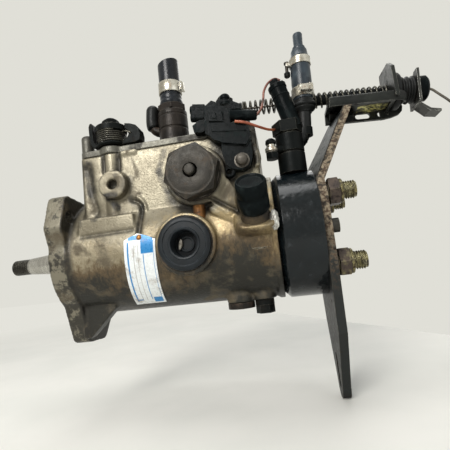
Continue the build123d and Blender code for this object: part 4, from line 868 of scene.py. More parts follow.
@dataclass(frozen=True)
class GlintFleckedBlack(Finish):
    """Black plating broken by yellow zinc flecks along one line, which also paint a highlight on the bend."""

    fleck_and_glint: Colour = (214, 206, 132)
    ground: Colour = (96, 92, 60)

    def extra(self, g: Graph, where: object, colour: object) -> object:
        """Flecks and painted highlight on the far web only, over a faint yellow ground."""
        web = g.ramp(g.split(where)[1], 0.006, 0.010)
        band = g.times(g.smear(where, (227.0, 90.4), (254.0, 90.8), 1.5), web)
        noise = g.noise(g.stretched(where, (0.6, 1.0, 1.4)), 420.0, 5.0, 0.7)
        # painted highlight: the bright flecks along the bend are partly yellow zinc and partly light caught
        # on the bend
        flecks_and_glints = g.times(g.ramp(noise, 0.47, 0.54), band)
        return g.tint(flecks_and_glints, g.tint(g.times(band, 0.2), colour, self.ground), self.fleck_and_glint)


@dataclass(frozen=True)
class Speckled(Finish):
    """A painted or plated surface broken by many small spots of another colour."""

    spot: Colour = (120, 74, 52)
    spot_scale: float = 420.0
    spot_level: float = 0.56

    def extra(self, g: Graph, where: object, colour: object) -> object:
        """Small spots, denser in some places than in others."""
        patchy = g.ramp(g.noise(where, 45.0, 3.0), 0.35, 0.65, 0.06, -0.04)
        fine = g.maths("SUBTRACT", g.noise(where, self.spot_scale, 4.0, 0.65), patchy)
        return g.tint(g.ramp(fine, self.spot_level - 0.04, self.spot_level + 0.06), colour, self.spot)


@dataclass(frozen=True)
class ShaftSteel(Finish):
    """Ground steel whose threaded tip is dark with old grease."""

    tip: Colour = (42, 40, 36)
    line: Colour = (96, 93, 86)

    def extra(self, g: Graph, where: object, colour: object) -> object:
        """The dark tip, by length, and faint turning lines."""
        lines = g.noise(g.stretched(where, (1.0, 0.02, 0.02)), 900.0, 2.0)
        colour = g.tint(g.ramp(lines, 0.35, 0.65, 0.0, 0.35), colour, self.line)
        return g.tint(g.ramp(g.split(where)[0], -0.0425, -0.0455), colour, self.tip)


@dataclass(frozen=True)
class Nameplate(Finish):
    """A bare foil plate: white in the middle with plain blue fields and lines, and no lettering."""

    blue: Colour = (30, 122, 182)
    pale: Colour = (222, 226, 226)
    rule: Colour = (140, 132, 124)
    grime: Colour = (120, 96, 62)
    fields: tuple[tuple[float, float, float, float], ...] = (
        (0.10, 0.15, 0.10, 0.93), (0.54, 0.93, 0.05, 0.25), (0.14, 0.93, 0.02, 0.08),
        (0.66, 0.93, 0.86, 0.97),
        (0.60, 0.625, 0.25, 0.90), (0.10, 0.30, 0.885, 0.91), (0.93, 0.945, 0.10, 0.95),
    )
    rules: tuple[tuple[float, float, float, float], ...] = (
        (0.30, 0.315, 0.12, 0.92), (0.44, 0.452, 0.12, 0.92)
    )
    edge: float = 0.008

    def extra(self, g: Graph, where: object, colour: object) -> object:
        """Fields laid out on the plate's own UV map, u across and v down."""
        uv = g.add("UVMap", uv_map="plate").outputs[0]
        u, v, _ = g.split(uv)

        def stretch(value: Socket, first: float, last: float) -> Socket:
            """The mask of the stretch between two values."""
            start = g.ramp(value, first - self.edge, first + self.edge)
            return g.times(start, g.ramp(value, last + self.edge, last - self.edge))

        colour = g.tint(1.0, colour, self.pale)
        for areas, tone in ((self.fields, self.blue), (self.rules, self.rule)):
            for u0, u1, v0, v1 in areas:
                colour = g.tint(g.times(stretch(u, u0, u1), stretch(v, v0, v1)), colour, tone)
        return g.tint(g.ramp(g.noise(where, 120.0, 5.0, 0.65), 0.50, 0.72, 0.0, 0.7), colour, self.grime)


class Look(Enum):
    """The finishes of the pump."""

    CAST = OilyCast(
        "oily_cast_aluminium", (143, 136, 117), (109, 102, 85), blotch=(82, 73, 56), level=0.61, scale=60,
        dirt_and_shade=(26, 23, 18), hold=1, bare=(214, 208, 188), wear=0.75, metal=0.5, rough=0.40, bare_rough=0.28,
        grain=700, depth=0.14, round_mm=0.7,
    )
    COVER = Finish(
        "grey_cover_casting", (98, 96, 87), (68, 66, 59), blotch=(46, 43, 38), level=0.56,
        dirt_and_shade=(24, 22, 18), bare=(190, 184, 166), wear=0.8, metal=0.5, rough=0.44, grain=700, depth=0.1,
        round_mm=0.7,
    )
    HEAD = Finish(
        "black_oiled_steel", (7, 13, 16), (12, 19, 22), blotch=(34, 39, 42), level=0.64, scale=130,
        dirt_and_shade=(4, 5, 5), bare=(60, 66, 70), wear=0.25, metal=0.1, rough=0.17, rough_blotch=0.36, grain=200,
        depth=0.10, round_mm=0.8, specular=0.34,
    )
    BLACK_IRON = Finish(
        "blackened_iron", (12, 15, 15), (22, 24, 23), blotch=(34, 30, 25), bare=(112, 110, 100), wear=0.6,
        metal=0.2, rough=0.42, depth=0.08, specular=0.06,
    )
    BROWN_STEEL = Finish(
        "browned_steel", (40, 35, 31), (27, 25, 23), blotch=(60, 48, 39), scale=130, bare=(132, 122, 106),
        wear=0.6, metal=0.4, rough=0.40, grain=1100, depth=0.06, specular=0.2,
    )
    HEX_PLUG = Finish(
        "dull_plug_steel", (51, 48, 43), (38, 36, 32), blotch=(66, 58, 49), level=0.60, scale=150,
        dirt_and_shade=(18, 16, 14), bare=(138, 131, 120), wear=0.5, metal=0.4, rough=0.46, grain=1200, depth=0.09,
        specular=0.25,
    )
    PLATED = Finish(
        "plated_steel", (140, 138, 130), (108, 104, 96), blotch=(76, 66, 52), scale=140,
        bare=(214, 212, 204), wear=0.5, metal=0.8, rough=0.34, depth=0.03,
    )
    BAND = Finish(
        "bright_clip_band", (204, 201, 190), (158, 152, 138), blotch=(126, 100, 70), scale=150,
        bare=(236, 234, 228), metal=0.85, rough=0.24, depth=0.015, hold=0.9,
    )
    YELLOW = Speckled(
        "yellow_zinc", (126, 118, 82), (90, 84, 60), blotch=(44, 38, 28), level=0.58, scale=140,
        bare=(226, 218, 170), wear=0.9, metal=0.8, rough=0.32, spot=(54, 44, 32), spot_level=0.54,
    )
    UNION_HEX = Speckled(
        "browned_union", (80, 68, 60), (60, 52, 48), blotch=(110, 102, 70), level=0.60, scale=160,
        bare=(196, 186, 146), wear=0.6, metal=0.6, rough=0.4, depth=0.06, spot=(38, 30, 28), spot_level=0.55,
    )
    RUST = CutPlate(
        "black_cut_plate", (18, 19, 19), (27, 27, 25), blotch=(44, 39, 33), level=0.66, scale=120,
        bare=(128, 122, 108), wear=0.5, metal=0.25, rough=0.44, grain=700, depth=0.12, hold=0.8,
        round_mm=0.5, specular=0.15,
    )
    CABLE_PLATE = GlintFleckedBlack(
        "flecked_glinting_bracket_black", (30, 32, 31), (44, 46, 43), blotch=(28, 28, 27), level=0.6,
        bare=(134, 132, 122), wear=0.8, metal=0.4, rough=0.36, depth=0.06, specular=0.2,
    )
    CLIP_PLATE = Finish(
        "worn_clip_plate", (52, 52, 50), (70, 70, 66), blotch=(40, 38, 35), level=0.6, bare=(226, 226, 218),
        wear=1, metal=0.6, rough=0.36, depth=0.03, round_mm=0.35,
    )
    CABLE_STEEL = Finish(
        "grey_cable_steel", (104, 99, 90), (84, 79, 72), blotch=(62, 56, 48), bare=(150, 146, 136),
        wear=0.2, metal=0.6, rough=0.42, depth=0.02, hold=0.3,
    )
    DARK_STEEL = Finish(
        "oily_dark_steel", (44, 43, 39), (62, 60, 53), blotch=(32, 30, 26), bare=(160, 156, 138), wear=0.5,
        metal=0.7, rough=0.34, depth=0.03,
    )
    BRIGHT = Finish(
        "ground_steel", (142, 139, 132), (108, 104, 96), blotch=(60, 54, 46), level=0.60, scale=90,
        bare=(220, 218, 212), metal=0.9, rough=0.28, grain=1500, depth=0.02, hold=0.8,
    )
    SHAFT = ShaftSteel(
        "greased_shaft_steel", (178, 176, 168), (158, 155, 147), blotch=(96, 90, 80), level=0.74, scale=120,
        bare=(226, 224, 218), metal=0.85, rough=0.27, grain=1500, depth=0.008, hold=0.5,
    )
    BRONZE = Finish(
        "warm_bronze", (158, 110, 62), (128, 86, 46), blotch=(64, 44, 28), scale=150, bare=(214, 172, 112),
        wear=0.5, metal=0.8, rough=0.34, depth=0.03,
    )
    BLACK_PLASTIC = Finish(
        "black_moulding", (7, 11, 12), (13, 18, 19), blotch=(30, 36, 36), scale=130, bare=(84, 90, 90),
        wear=0.5, bare_metal=0, rough=0.34, grain=1000, depth=0.09, specular=0.045,
    )
    SLATE_CAP = Finish(
        "slate_rubber_cap", (26, 31, 35), (19, 23, 26), blotch=(44, 46, 46), level=0.68, scale=130,
        dirt_and_shade=(6, 7, 8), bare=(72, 80, 86), wear=0.5, bare_metal=0, rough=0.4, grain=1000, depth=0.04,
        hold=1, specular=0.2,
    )
    BROWN_PLASTIC = Finish(
        "brown_moulding", (44, 37, 28), (30, 26, 21), blotch=(72, 60, 42), level=0.58, bare=(110, 98, 74),
        bare_metal=0, rough=0.46, depth=0.08, specular=0.25,
    )
    HOSE = Finish(
        "blue_black_hose", (26, 34, 41), (44, 54, 62), blotch=(74, 82, 86), level=0.66, scale=110,
        bare=(92, 104, 112), bare_metal=0, rough=0.34, rough_blotch=0.6, grain=700, depth=0.08, coat=0.04,
        hold=0.6, specular=0.3,
    )
    BLACK_HOSE = Finish(
        "black_hose", (10, 14, 20), (17, 23, 30), blotch=(30, 34, 37), level=0.7, bare=(76, 84, 90),
        bare_metal=0, rough=0.28, rough_blotch=0.34, grain=700, depth=0, hold=0.4, specular=0.3,
    )
    RUBBER = Finish(
        "black_rubber", (12, 14, 14), (20, 22, 22), blotch=(46, 46, 43), level=0.66, bare=(72, 74, 72),
        bare_metal=0, rough=0.42, grain=800, depth=0.07, specular=0.18,
    )
    BROWN_LEAD = Finish(
        "brown_lead", (128, 76, 58), (104, 58, 46), blotch=(60, 40, 32), bare=(170, 120, 98), wear=0.1,
        bare_metal=0, depth=0.02, hold=0.5,
    )
    ORANGE_LEAD = Finish(
        "orange_lead", (176, 98, 58), (138, 68, 44), blotch=(84, 44, 30), level=0.60, bare=(210, 140, 96),
        wear=0.1, bare_metal=0, rough=0.48, depth=0.02, hold=0.6,
    )
    SEAL_FOIL = Finish(
        "crumpled_lead", (188, 188, 182), (140, 137, 130), blotch=(84, 76, 62), level=0.60, scale=180,
        bare=(236, 236, 232), wear=0.6, metal=0.75, rough=0.32, depth=0.2,
    )
    PLATE_FOIL = Nameplate(
        "blank_foil_plate", (222, 226, 226), (214, 218, 218), blotch=(150, 130, 96), level=0.74, hold=0.3,
        bare=(236, 238, 238), wear=0.3, metal=0.1, rough=0.3, depth=0.02, round_mm=0.2,
    )


@dataclass
class Wardrobe:
    """Keeps one material for each finish."""

    effects: Effects
    made: dict[Look, Material] = field(default_factory=dict)

    def get(self, look: Look) -> Material:
        """The material of a finish, built when it is first asked for."""
        if look not in self.made:
            self.made[look] = look.value.material(self.effects)
        return self.made[look]


# ---- pieces


@dataclass
class Maker:
    """Turns patches into finished pieces that ride on the pump's bodies."""

    frame: dict[str, object]
    wardrobe: Wardrobe

    def piece(
        self,
        name: str,
        patches: Iterable[Patch],
        look: Look,
        body: str = "pump",
        stands_for: Sequence[str] = (),
        slot: str = "",
        bevel: float = 0.0,
        sharp: float = 32.0,
    ) -> Thing:
        """Makes one piece.

        Args:
            name: the piece's name.
            patches: its shells, in millimetres.
            look: its finish.
            body: the body it rides on, or nothing for a piece fixed to no body.
            stands_for: the solids it is shown in place of.
            slot: the name of a material slot; not used.
            bevel: the width of its rounded edges in millimetres, or 0.
            sharp: the angle in degrees past which an edge shades sharp.

        Returns:
            The object.
        """
        patch = merged(patches)
        mesh = bpy.data.meshes.new(name)
        mesh.from_pydata((patch.points * MM).tolist(), [], patch.faces)
        self.tidy(mesh, sharp)
        made = linked(name, mesh)
        if bevel > 0:
            rounding = made.modifiers.new("rounding", "BEVEL")
            rounding.width = bevel * MM
            rounding.segments = 2
            rounding.limit_method = "ANGLE"
            rounding.angle_limit = math.radians(35)
        return self.settle(made, look, body, stands_for, slot)

    @staticmethod
    def tidy(mesh: Mesh, sharp: float) -> None:
        """Joins doubled points, turns the faces outward and sets smooth shading up to an angle."""
        work = bmesh.new()
        work.from_mesh(mesh)
        bmesh.ops.remove_doubles(work, verts=work.verts, dist=1e-6)
        bmesh.ops.dissolve_degenerate(work, edges=work.edges, dist=1e-7)
        bmesh.ops.recalc_face_normals(work, faces=work.faces)
        work.to_mesh(mesh)
        work.free()
        mesh.polygons.foreach_set("use_smooth", [True] * len(mesh.polygons))
        mesh.set_sharp_from_angle(angle=math.radians(sharp))
        mesh.update()

    def settle(self, made: Thing, look: Look, body: str, stands_for: Sequence[str], slot: str) -> Thing:
        """Dresses a finished object and fixes it to its body."""
        made.data.materials.clear()
        made.data.materials.append(self.wardrobe.get(look))
        if body:
            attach(made, body)
        if stands_for:
            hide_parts(*stands_for)
        LOG.info("piece %s on %s", made.name, body or "two bodies")
        return made

    def dress(self, look: Look, *nodes: str) -> None:
        """Gives solids that stay as they are their finish."""
        for node in nodes:
            solid = self.frame["nodes"][node]
            solid.data.materials.clear()
            solid.data.materials.append(self.wardrobe.get(look))
            LOG.info("solid %s is %s", node, look.value.name)

    @staticmethod
    def vectors(mesh: Mesh, name: str) -> Array:
        """A value of every vertex, such as its place or its normal, as rows of three."""
        flat = np.empty(len(mesh.vertices) * 3)
        mesh.vertices.foreach_get(name, flat)
        return flat.reshape(-1, 3)

    def press(self, mesh: Mesh, grooves: Sequence[Groove], parings: Sequence[Paring]) -> None:
        """Cuts bosses back, and sinks the near wall into its grooves where it faces the near side."""
        spots, normals = self.vectors(mesh, "co") / MM, self.vectors(mesh, "normal")
        facing = np.clip(-normals[:, 1] * 1.6 - 0.3, 0, 1) * (spots[:, 1] < -24)
        for paring in parings:
            spots = paring.pare(spots)
        for groove in grooves:
            spots[:, 1] += facing * groove.press(spots)
        mesh.vertices.foreach_set("co", (spots * MM).ravel())
        mesh.update()

    @staticmethod
    def baked(made: Thing) -> Mesh:
        """Gives an object the mesh that its modifiers make, in their place."""
        bpy.context.view_layer.update()
        graph = bpy.context.evaluated_depsgraph_get()
        mesh = bpy.data.meshes.new_from_object(made.evaluated_get(graph))
        made.modifiers.clear()
        made.data = mesh
        return mesh

    def softened(
        self,
        name: str,
        node: str,
        extra: Sequence[Patch],
        voxel: float,
        look: Look,
        passes: int,
        faces: int,
        grooves: Sequence[Groove] = (),
        parings: Sequence[Paring] = (),
    ) -> Thing:
        """A casting with fillets: a solid and the forms cast on it, run together and smoothed.

        Args:
            name: the piece's name.
            node: the solid that it starts from and stands for.
            extra: more cast forms, in millimetres.
            voxel: the size of the grid in millimetres.
            look: its finish.
            passes: how many smoothing steps it takes.
            faces: about how many triangles are kept.
            grooves: hollows pressed into its near wall.
            parings: bosses cut back to their wall.

        Returns:
            The object.
        """
        mesh = self.frame["nodes"][node].data.copy()
        mesh.name = name
        work = bmesh.new()
        work.from_mesh(mesh)
        bmesh.ops.remove_doubles(work, verts=work.verts, dist=1e-6)
        for patch in extra:
            start = [work.verts.new(p) for p in (patch.points * MM).tolist()]
            for face in patch.faces:
                work.faces.new([start[i] for i in face])
        bmesh.ops.remove_doubles(work, verts=work.verts, dist=1e-7)
        work.to_mesh(mesh)
        work.free()
        made = linked(name, mesh)
        remesh = made.modifiers.new("cast", "REMESH")
        remesh.mode = "VOXEL"
        remesh.voxel_size = voxel * MM
        smooth = made.modifiers.new("fillets", "SMOOTH")
        smooth.factor = 0.5
        smooth.iterations = passes
        mesh = self.baked(made)
        self.press(mesh, grooves, parings)
        triangles = 2 * len(mesh.polygons)
        if triangles > faces:
            thin = made.modifiers.new("thin", "DECIMATE")
            thin.ratio = faces / triangles
            mesh = self.baked(made)
        mesh.polygons.foreach_set("use_smooth", [True] * len(mesh.polygons))
        mesh.update()
        LOG.info("%s has %d faces", name, len(mesh.polygons))
        return self.settle(made, look, "pump", (node,), "cast_alloy")


# ---- sub-assemblies


@dataclass
class Assembly:
    """A group of pieces that a maker builds."""

    maker: Maker

    def __post_init__(self) -> None:
        """Takes the maker's two calls as its own."""
        self.piece, self.dress = self.maker.piece, self.maker.dress

    def build(self) -> None:
        """Builds the group's pieces and dresses its solids."""
        raise NotImplementedError


@dataclass
class Casting(Assembly):
    """The main casting, its cover, and the blank foil plate round it."""

    body_r: float = 42.0
    plate_x0: float = 54.0
    plate_x1: float = 75.5
    plate_top: float = 13.5
    plate_foot: float = -61.0
    plate_lean: float = 3.0
    voxel: float = 0.85
    cover_voxel: float = 0.6

    def build(self) -> None:
        """Builds the castings, the foil plate and the small pieces on them."""
        forms = self.cast_forms()
        under_cold_start = Paring(first_x=124, last_x=158, low=-3, high=4, wall=41.96, lip_x=150.6, lip=43.5)
        self.maker.softened(
            "housing_casting", "pump_housing", forms, self.voxel, Look.CAST, passes=5, faces=170000,
            grooves=self.hollows(), parings=[under_cold_start],
        )
        self.maker.softened(
            "cover_casting", "governor_cover", [], self.cover_voxel, Look.COVER, passes=3, faces=60000
        )
        self.foil_plate()
        self.cover_fasteners()
        self.vent_pin()
        self.foil_seal()
        self.post()

    @staticmethod
    def hollows() -> list[Groove]:
        """The hollows of the near wall."""
        return [
            Groove(((58.5, 34.5), (62.5, 33), (64.8, 29.5), (65.2, 22.5), (64, 10)), 1.5, 2),
            Groove(((26.6, 61), (28.3, 46), (31.5, 30)), 3.2, 1.5),
            Groove(((23, 12.6), (60, 13.2)), 0.9, 0.7),
            Groove(((39.6, 71), (39.4, 57)), 1.5, 1.4),
            Groove(((50.6, 71), (50.2, 57)), 1.5, 1.4),
            Groove(((114.5, 27), (128, 18), (142, 8)), 1.3, 2.2),
        ]

    @staticmethod
    def cast_forms() -> list[Patch]:
        """The raised forms that run into the casting's outer walls."""
        web = [(115, 24), (117, 38), (127, 38), (131, 30), (131, 16), (124, 14)]
        groove_lip = [(112, 20), (114, 16.5), (128, 9.5), (141, 2), (145, 5), (130, 14.5), (116, 23)]
        rib = [(143, 60), (147.5, 60.5), (149.8, 52), (148.5, 45), (145, 44), (146, 50)]
        ledge = [(60, 22.8), (84, 21.6), (84, 19.2), (60, 20.2)]
        hook = [
            (62, 37.5), (66.5, 34), (68.6, 29), (68.6, 18), (66.4, 18), (66.2, 28), (64.4, 32), (61, 34.6)
        ]
        return [
            plate(NEAR, web, 32, 42),
            plate(NEAR, groove_lip, 34, 41.6),
            plate(NEAR, rib, 26, 35.5),
            plate(NEAR, ledge, 28, 36),
            plate(NEAR, hook, 28, 34.4),
            turned(upright(45, -29.2, 50), [(0, 0), (5.4, 0), (5.4, 20.5), (0, 20.5)], 32),
            plate(NEAR, [(38.6, 70.6), (64, 70.6), (64, 67.8), (38.6, 67.8)], 28, 34.3),
        ]

    def post(self) -> None:
        """The domed round post at the cover's near corner."""
        seat = upright(24.6, -26, COVER_TOP)
        pin = turned(seat, [(0, 13.6), (3, 13.4), (4, 12.7), (4.4, 11.4), (4.4, 0.6), (4.9, 0), (0, 0)], 40)
        self.piece(
            "cover_corner_post", [pin], Look.COVER, stands_for=("cover_post",), slot="black_iron",
            bevel=0.15,
        )

    def foil_plate(self) -> None:
        """The foil plate: p(u, a) = (x(u, a), -R cos a, R sin a), pointed at its upper end."""
        across, down = 25, 61
        point = 6.5
        u = np.linspace(0, 1, across)[None, :]
        v = np.linspace(0, 1, down)[:, None]
        top = np.radians(self.plate_top - point + point * (1 - np.abs(2 * u - 0.9)).clip(0, 1) ** 0.8)
        angle = top * (1 - v) + np.radians(self.plate_foot) * v
        x = self.plate_x0 - self.plate_lean * v**1.4 + (self.plate_x1 - self.plate_x0) * u
        layers = []
        for radius in (self.body_r + 0.5, self.body_r - 0.3):
            layers.append(np.stack([x, -radius * np.cos(angle), radius * np.sin(angle)], -1))
        points = np.vstack([layer.reshape(-1, 3) for layer in layers])
        index = np.arange(down * across).reshape(down, across)
        quads = cells(index)
        rim = np.concatenate([index[0], index[1:, -1], index[-1, -2::-1], index[-2:0:-1, 0]])
        after = np.roll(rim, -1)
        lower = down * across
        walls = np.stack([rim, after, after + lower, rim + lower], -1)
        faces = np.vstack([quads, quads[:, ::-1] + lower, walls]).tolist()
        made = self.piece("blank_foil_plate", [Patch(points, faces)], Look.PLATE_FOIL, sharp=60)
        co = self.maker.vectors(made.data, "co") / MM
        turn = np.degrees(np.arctan2(co[:, 2], -co[:, 1]))
        v_at = ((self.plate_top - turn) / (self.plate_top - self.plate_foot)).clip(0, 1)
        u_at = (co[:, 0] - self.plate_x0 + self.plate_lean * v_at**1.4) / (self.plate_x1 - self.plate_x0)
        loops = np.empty(len(made.data.loops), int)
        made.data.loops.foreach_get("vertex_index", loops)
        layer = made.data.uv_layers.new(name="plate")
        layer.data.foreach_set("uv", np.column_stack([u_at, v_at])[loops].ravel())
        dome = [(0, 1.5), (0.9, 1.4), (1.6, 0.9), (1.8, 0.2), (1.8, -0.4), (0, -0.4)]
        self.piece("plate_rivet", [turned(self.on_body(64.6, 9.6), dome, 24)], Look.BRONZE)

    def on_body(self, x: float, degrees: float) -> Axes:
        """Axes that stand on the body's round wall, at an angle above its near side."""
        turn = math.radians(degrees)
        out = (0, -math.cos(turn), math.sin(turn))
        return Axes((x, self.body_r * out[1], self.body_r * out[2]), ALONG, out)

    def cover_fasteners(self) -> None:
        """Socket screws that hold the cover, each with its recess and its washer."""
        shells = []
        for x, y in ((28, 26), (140, 26), (84, 27), (140, -27)):
            at = upright(x, y, COVER_TOP)
            shells.append(
                turned(at, [(0, 1.6), (2.2, 1.6), (2.2, 4), (3.9, 4), (4.5, 3.4), (4.5, 0), (0, 0)], 40)
            )
            shells.append(turned(at, [(5.6, 0.7), (5.6, 0), (4.4, 0), (4.4, 0.7)], 40, ring=True))
        self.piece(
            "cover_socket_screws", shells, Look.PLATED, stands_for=("cover_screws",), slot="plated_steel"
        )

    def vent_pin(self) -> None:
        """The copper-coloured pin that stands between the advance boss and the inspection cover."""
        shell = turned(upright(105.8, -37.8, 12), [(0, 0), (4.1, 0), (4.1, 15.5), (3.6, 16.2), (0, 16.2)], 40)
        self.piece("vent_pin", [shell], Look.BRONZE, slot="bronze")

    def foil_seal(self) -> None:
        """A crumpled lead seal, an ellipsoid times 1 + 0.16 sin 3u sin 4v + 0.1 sin(7u + 5v) sin v."""
        u, v = np.meshgrid(around(36), np.linspace(0, math.pi, 25))
        swell = 1 + 0.16 * np.sin(3 * u) * np.sin(4 * v) + 0.10 * np.sin(7 * u + 5 * v) * np.sin(v)
        flat = swell * np.sin(v)
        grid = np.stack([2.7 * flat * np.cos(u), 6.0 * flat * np.sin(u), 1.7 * swell * np.cos(v)], -1)
        shell = lattice(self.on_body(153.2, 7.5).moved(c=6.8).place(grid))
        self.piece("lead_seal", [shell], Look.SEAL_FOIL, slot="bright_steel")


class DriveEnd(Assembly):
    """The drive shaft's nose, with its thread, and the turning parts inside."""

    def build(self) -> None:
        """Builds the nose thread and the springs and dresses the drive train."""
        ridge = thread(endwise(-58), radius=6.15, pitch=1.5, length=13.6)
        self.piece("nose_thread", [ridge], Look.DARK_STEEL, "drive_train", slot="bright_steel")
        self.dress(
            Look.BRIGHT, "woodruff_key", "governor_cage", "distributor_rotor", "cam_rollers",
            "transfer_blades", "flyweight_1", "flyweight_2", "flyweight_3", "flyweight_4", "thrust_sleeve",
            "governor_arm", "metering_link", "metering_valve", "cam_ring", "advance_piston",
            "solenoid_plunger", "governor_pivot_pin", "transfer_liner", "transfer_end_plate",
        )
        self.dress(Look.SHAFT, "drive_shaft")
        self.dress(Look.BRONZE, "shaft_bush")
        self.dress(Look.RUBBER, "shaft_seal")
        self.springs()

    def springs(self) -> None:
        """The two inner springs, at the governor arm and the advance piston."""
        start, end = (83.3, -5.6, 61.5), (124, -5.6, 61.5)
        long = wound(endwise(*start), 2.45, np.array([0.35, 40.6]), 22, disc(0.35, 6))
        arm = self.piece(
            "governor_coil", [long], Look.DARK_STEEL, body="", stands_for=("governor_spring",),
            slot="dark_steel",
        )
        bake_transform(arm)
        stout = wound(fronting(106, -14.3, 43), 8.2, np.array([0.9, 20.6]), 5, disc(0.9, 8))
        advance = self.piece(
            "advance_coil", [stout], Look.DARK_STEEL, stands_for=("advance_spring",), slot="dark_steel"
        )
        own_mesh(advance)


@dataclass
class AdvanceUnit(Assembly):
    """The hexagonal advance plug with its adjusting screw, and the inspection cap below it."""

    x: float = 106.0
    z: float = 43.0

    def build(self) -> None:
        """Builds the plug, the screw, the joint ring and the inspection cap."""
        seat = fronting(self.x, -43, self.z)
        face = [(4.6, 12), (4.9, 12.15), (13.6, 12.15), (14.6, 11.6), (14.6, 10.5), (4.6, 10.5)]
        head = hexagon(seat.moved(c=1.6).turned(45), 32, 10.4, 1.15, bore=4.6)
        collar = turned(seat, [(4.6, 0), (16.4, 0), (16.4, 1.9), (4.6, 1.9)], 64, ring=True)
        shank = turned(seat, [(0, -7), (11.9, -7), (11.9, 0.4), (0, 0.4)], 48)
        self.piece(
            "advance_hex_plug", [head, collar, shank, turned(seat, face, 64, ring=True)], Look.HEX_PLUG,
            stands_for=("advance_plug",), slot="dark_steel", bevel=0.25,
        )
        joint = [(15.6, -0.3), (17.4, -0.3), (17.6, 0.5), (17.2, 1.1), (15.6, 1.1)]
        self.piece(
            "advance_joint_ring", [turned(seat, joint, 64, ring=True)], Look.BROWN_STEEL, slot="dark_steel"
        )
        screw = [(0, 5.9), (3.5, 5.9), (3.5, 13.4), (3.3, 14.4), (2.6, 14.9), (0, 15)]
        self.piece("advance_adjuster", [turned(seat, screw, 40)], Look.HEX_PLUG, slot="dark_steel")
        self.inspection_cap()

    def inspection_cap(self) -> None:
        """The round cap: a face with a groove, a deep recess and a lip inside it."""
        seat = fronting(96, -45.5, -1)
        profile = [
            (0, -6), (3.6, -6), (4.2, -4.9), (4.9, -4.9), (5.4, -5.9), (7.9, -6.2), (8.3, 2.2), (8.9, 3.1),
            (9.9, 3.3), (10.4, 2.7), (13.7, 2.6), (14.1, 3.1), (15.9, 3.1), (17, 2.3), (17.15, 1.4),
            (17.15, 0), (13, 0), (13, -7), (0, -7),
        ]
        self.piece(
            "inspection_cap", [turned(seat, profile, 72)], Look.SLATE_CAP, stands_for=("inspection_plug",),
            slot="dark_steel", sharp=40,
        )
        ring = turned(seat, [(16.9, -0.4), (17.9, -0.4), (18, 0.3), (17.2, 0.6)], 64, ring=True)
        self.piece("inspection_joint_ring", [ring], Look.BROWN_STEEL, slot="dark_steel")
        self.recess_glint()

    def recess_glint(self) -> None:
        """A painted reflection: a pale leaf inside the cap's recess that stands for the glint of light at its
        left; half-width w(s) = 1.6 sqrt(sin pi s).
        """
        s = np.linspace(0, 1, 13)
        half = 1.6 * np.sqrt(np.sin(np.pi * s).clip(0, 1))
        spine = np.stack([90.9 + 1.5 * s, -4.6 + 7.4 * s], 1)
        outline = np.vstack(
            [spine + half[:, None] * [0.95, -0.1], (spine - half[:, None] * [0.6, -0.1])[::-1][1:-1]]
        )
        leaf = plate(NEAR, outline.tolist(), 39.4, 41.6)
        # painted reflection: the pale plated leaf stands for the glint in the recess
        self.piece("cap_recess_glint", [leaf], Look.PLATED, slot="dark_steel", bevel=0.3)


class ColdStart(Assembly):
    """The cold start unit: a black cap on a brown collar."""

    def build(self) -> None:
        """Builds the rimmed cap and the stepped collar."""
        cap = [
            (0, -1.5), (6.9, -1.4), (7.5, -0.5), (8.3, 0), (9, -0.6), (9.3, -2), (9.3, -8.6), (8.9, -9.3),
            (8.9, -10.2), (9.4, -11), (9.4, -18.8), (8.8, -20), (8, -20.5), (0, -20.5),
        ]
        self.piece(
            "cold_start_black_cap", [turned(on_cold(0), cap, 64)], Look.BLACK_PLASTIC,
            stands_for=("cold_start_cap",), slot="black_plastic", sharp=40,
        )
        collar = [(0, -20), (8, -20), (8.6, -20.8), (8.6, -24), (9.4, -25), (9.4, -27.4), (0, -27.4)]
        self.piece(
            "cold_start_brown_collar", [turned(on_cold(0), collar, 56)], Look.BROWN_PLASTIC,
            stands_for=("cold_start_collar",), slot="brown_plastic", sharp=40,
        )


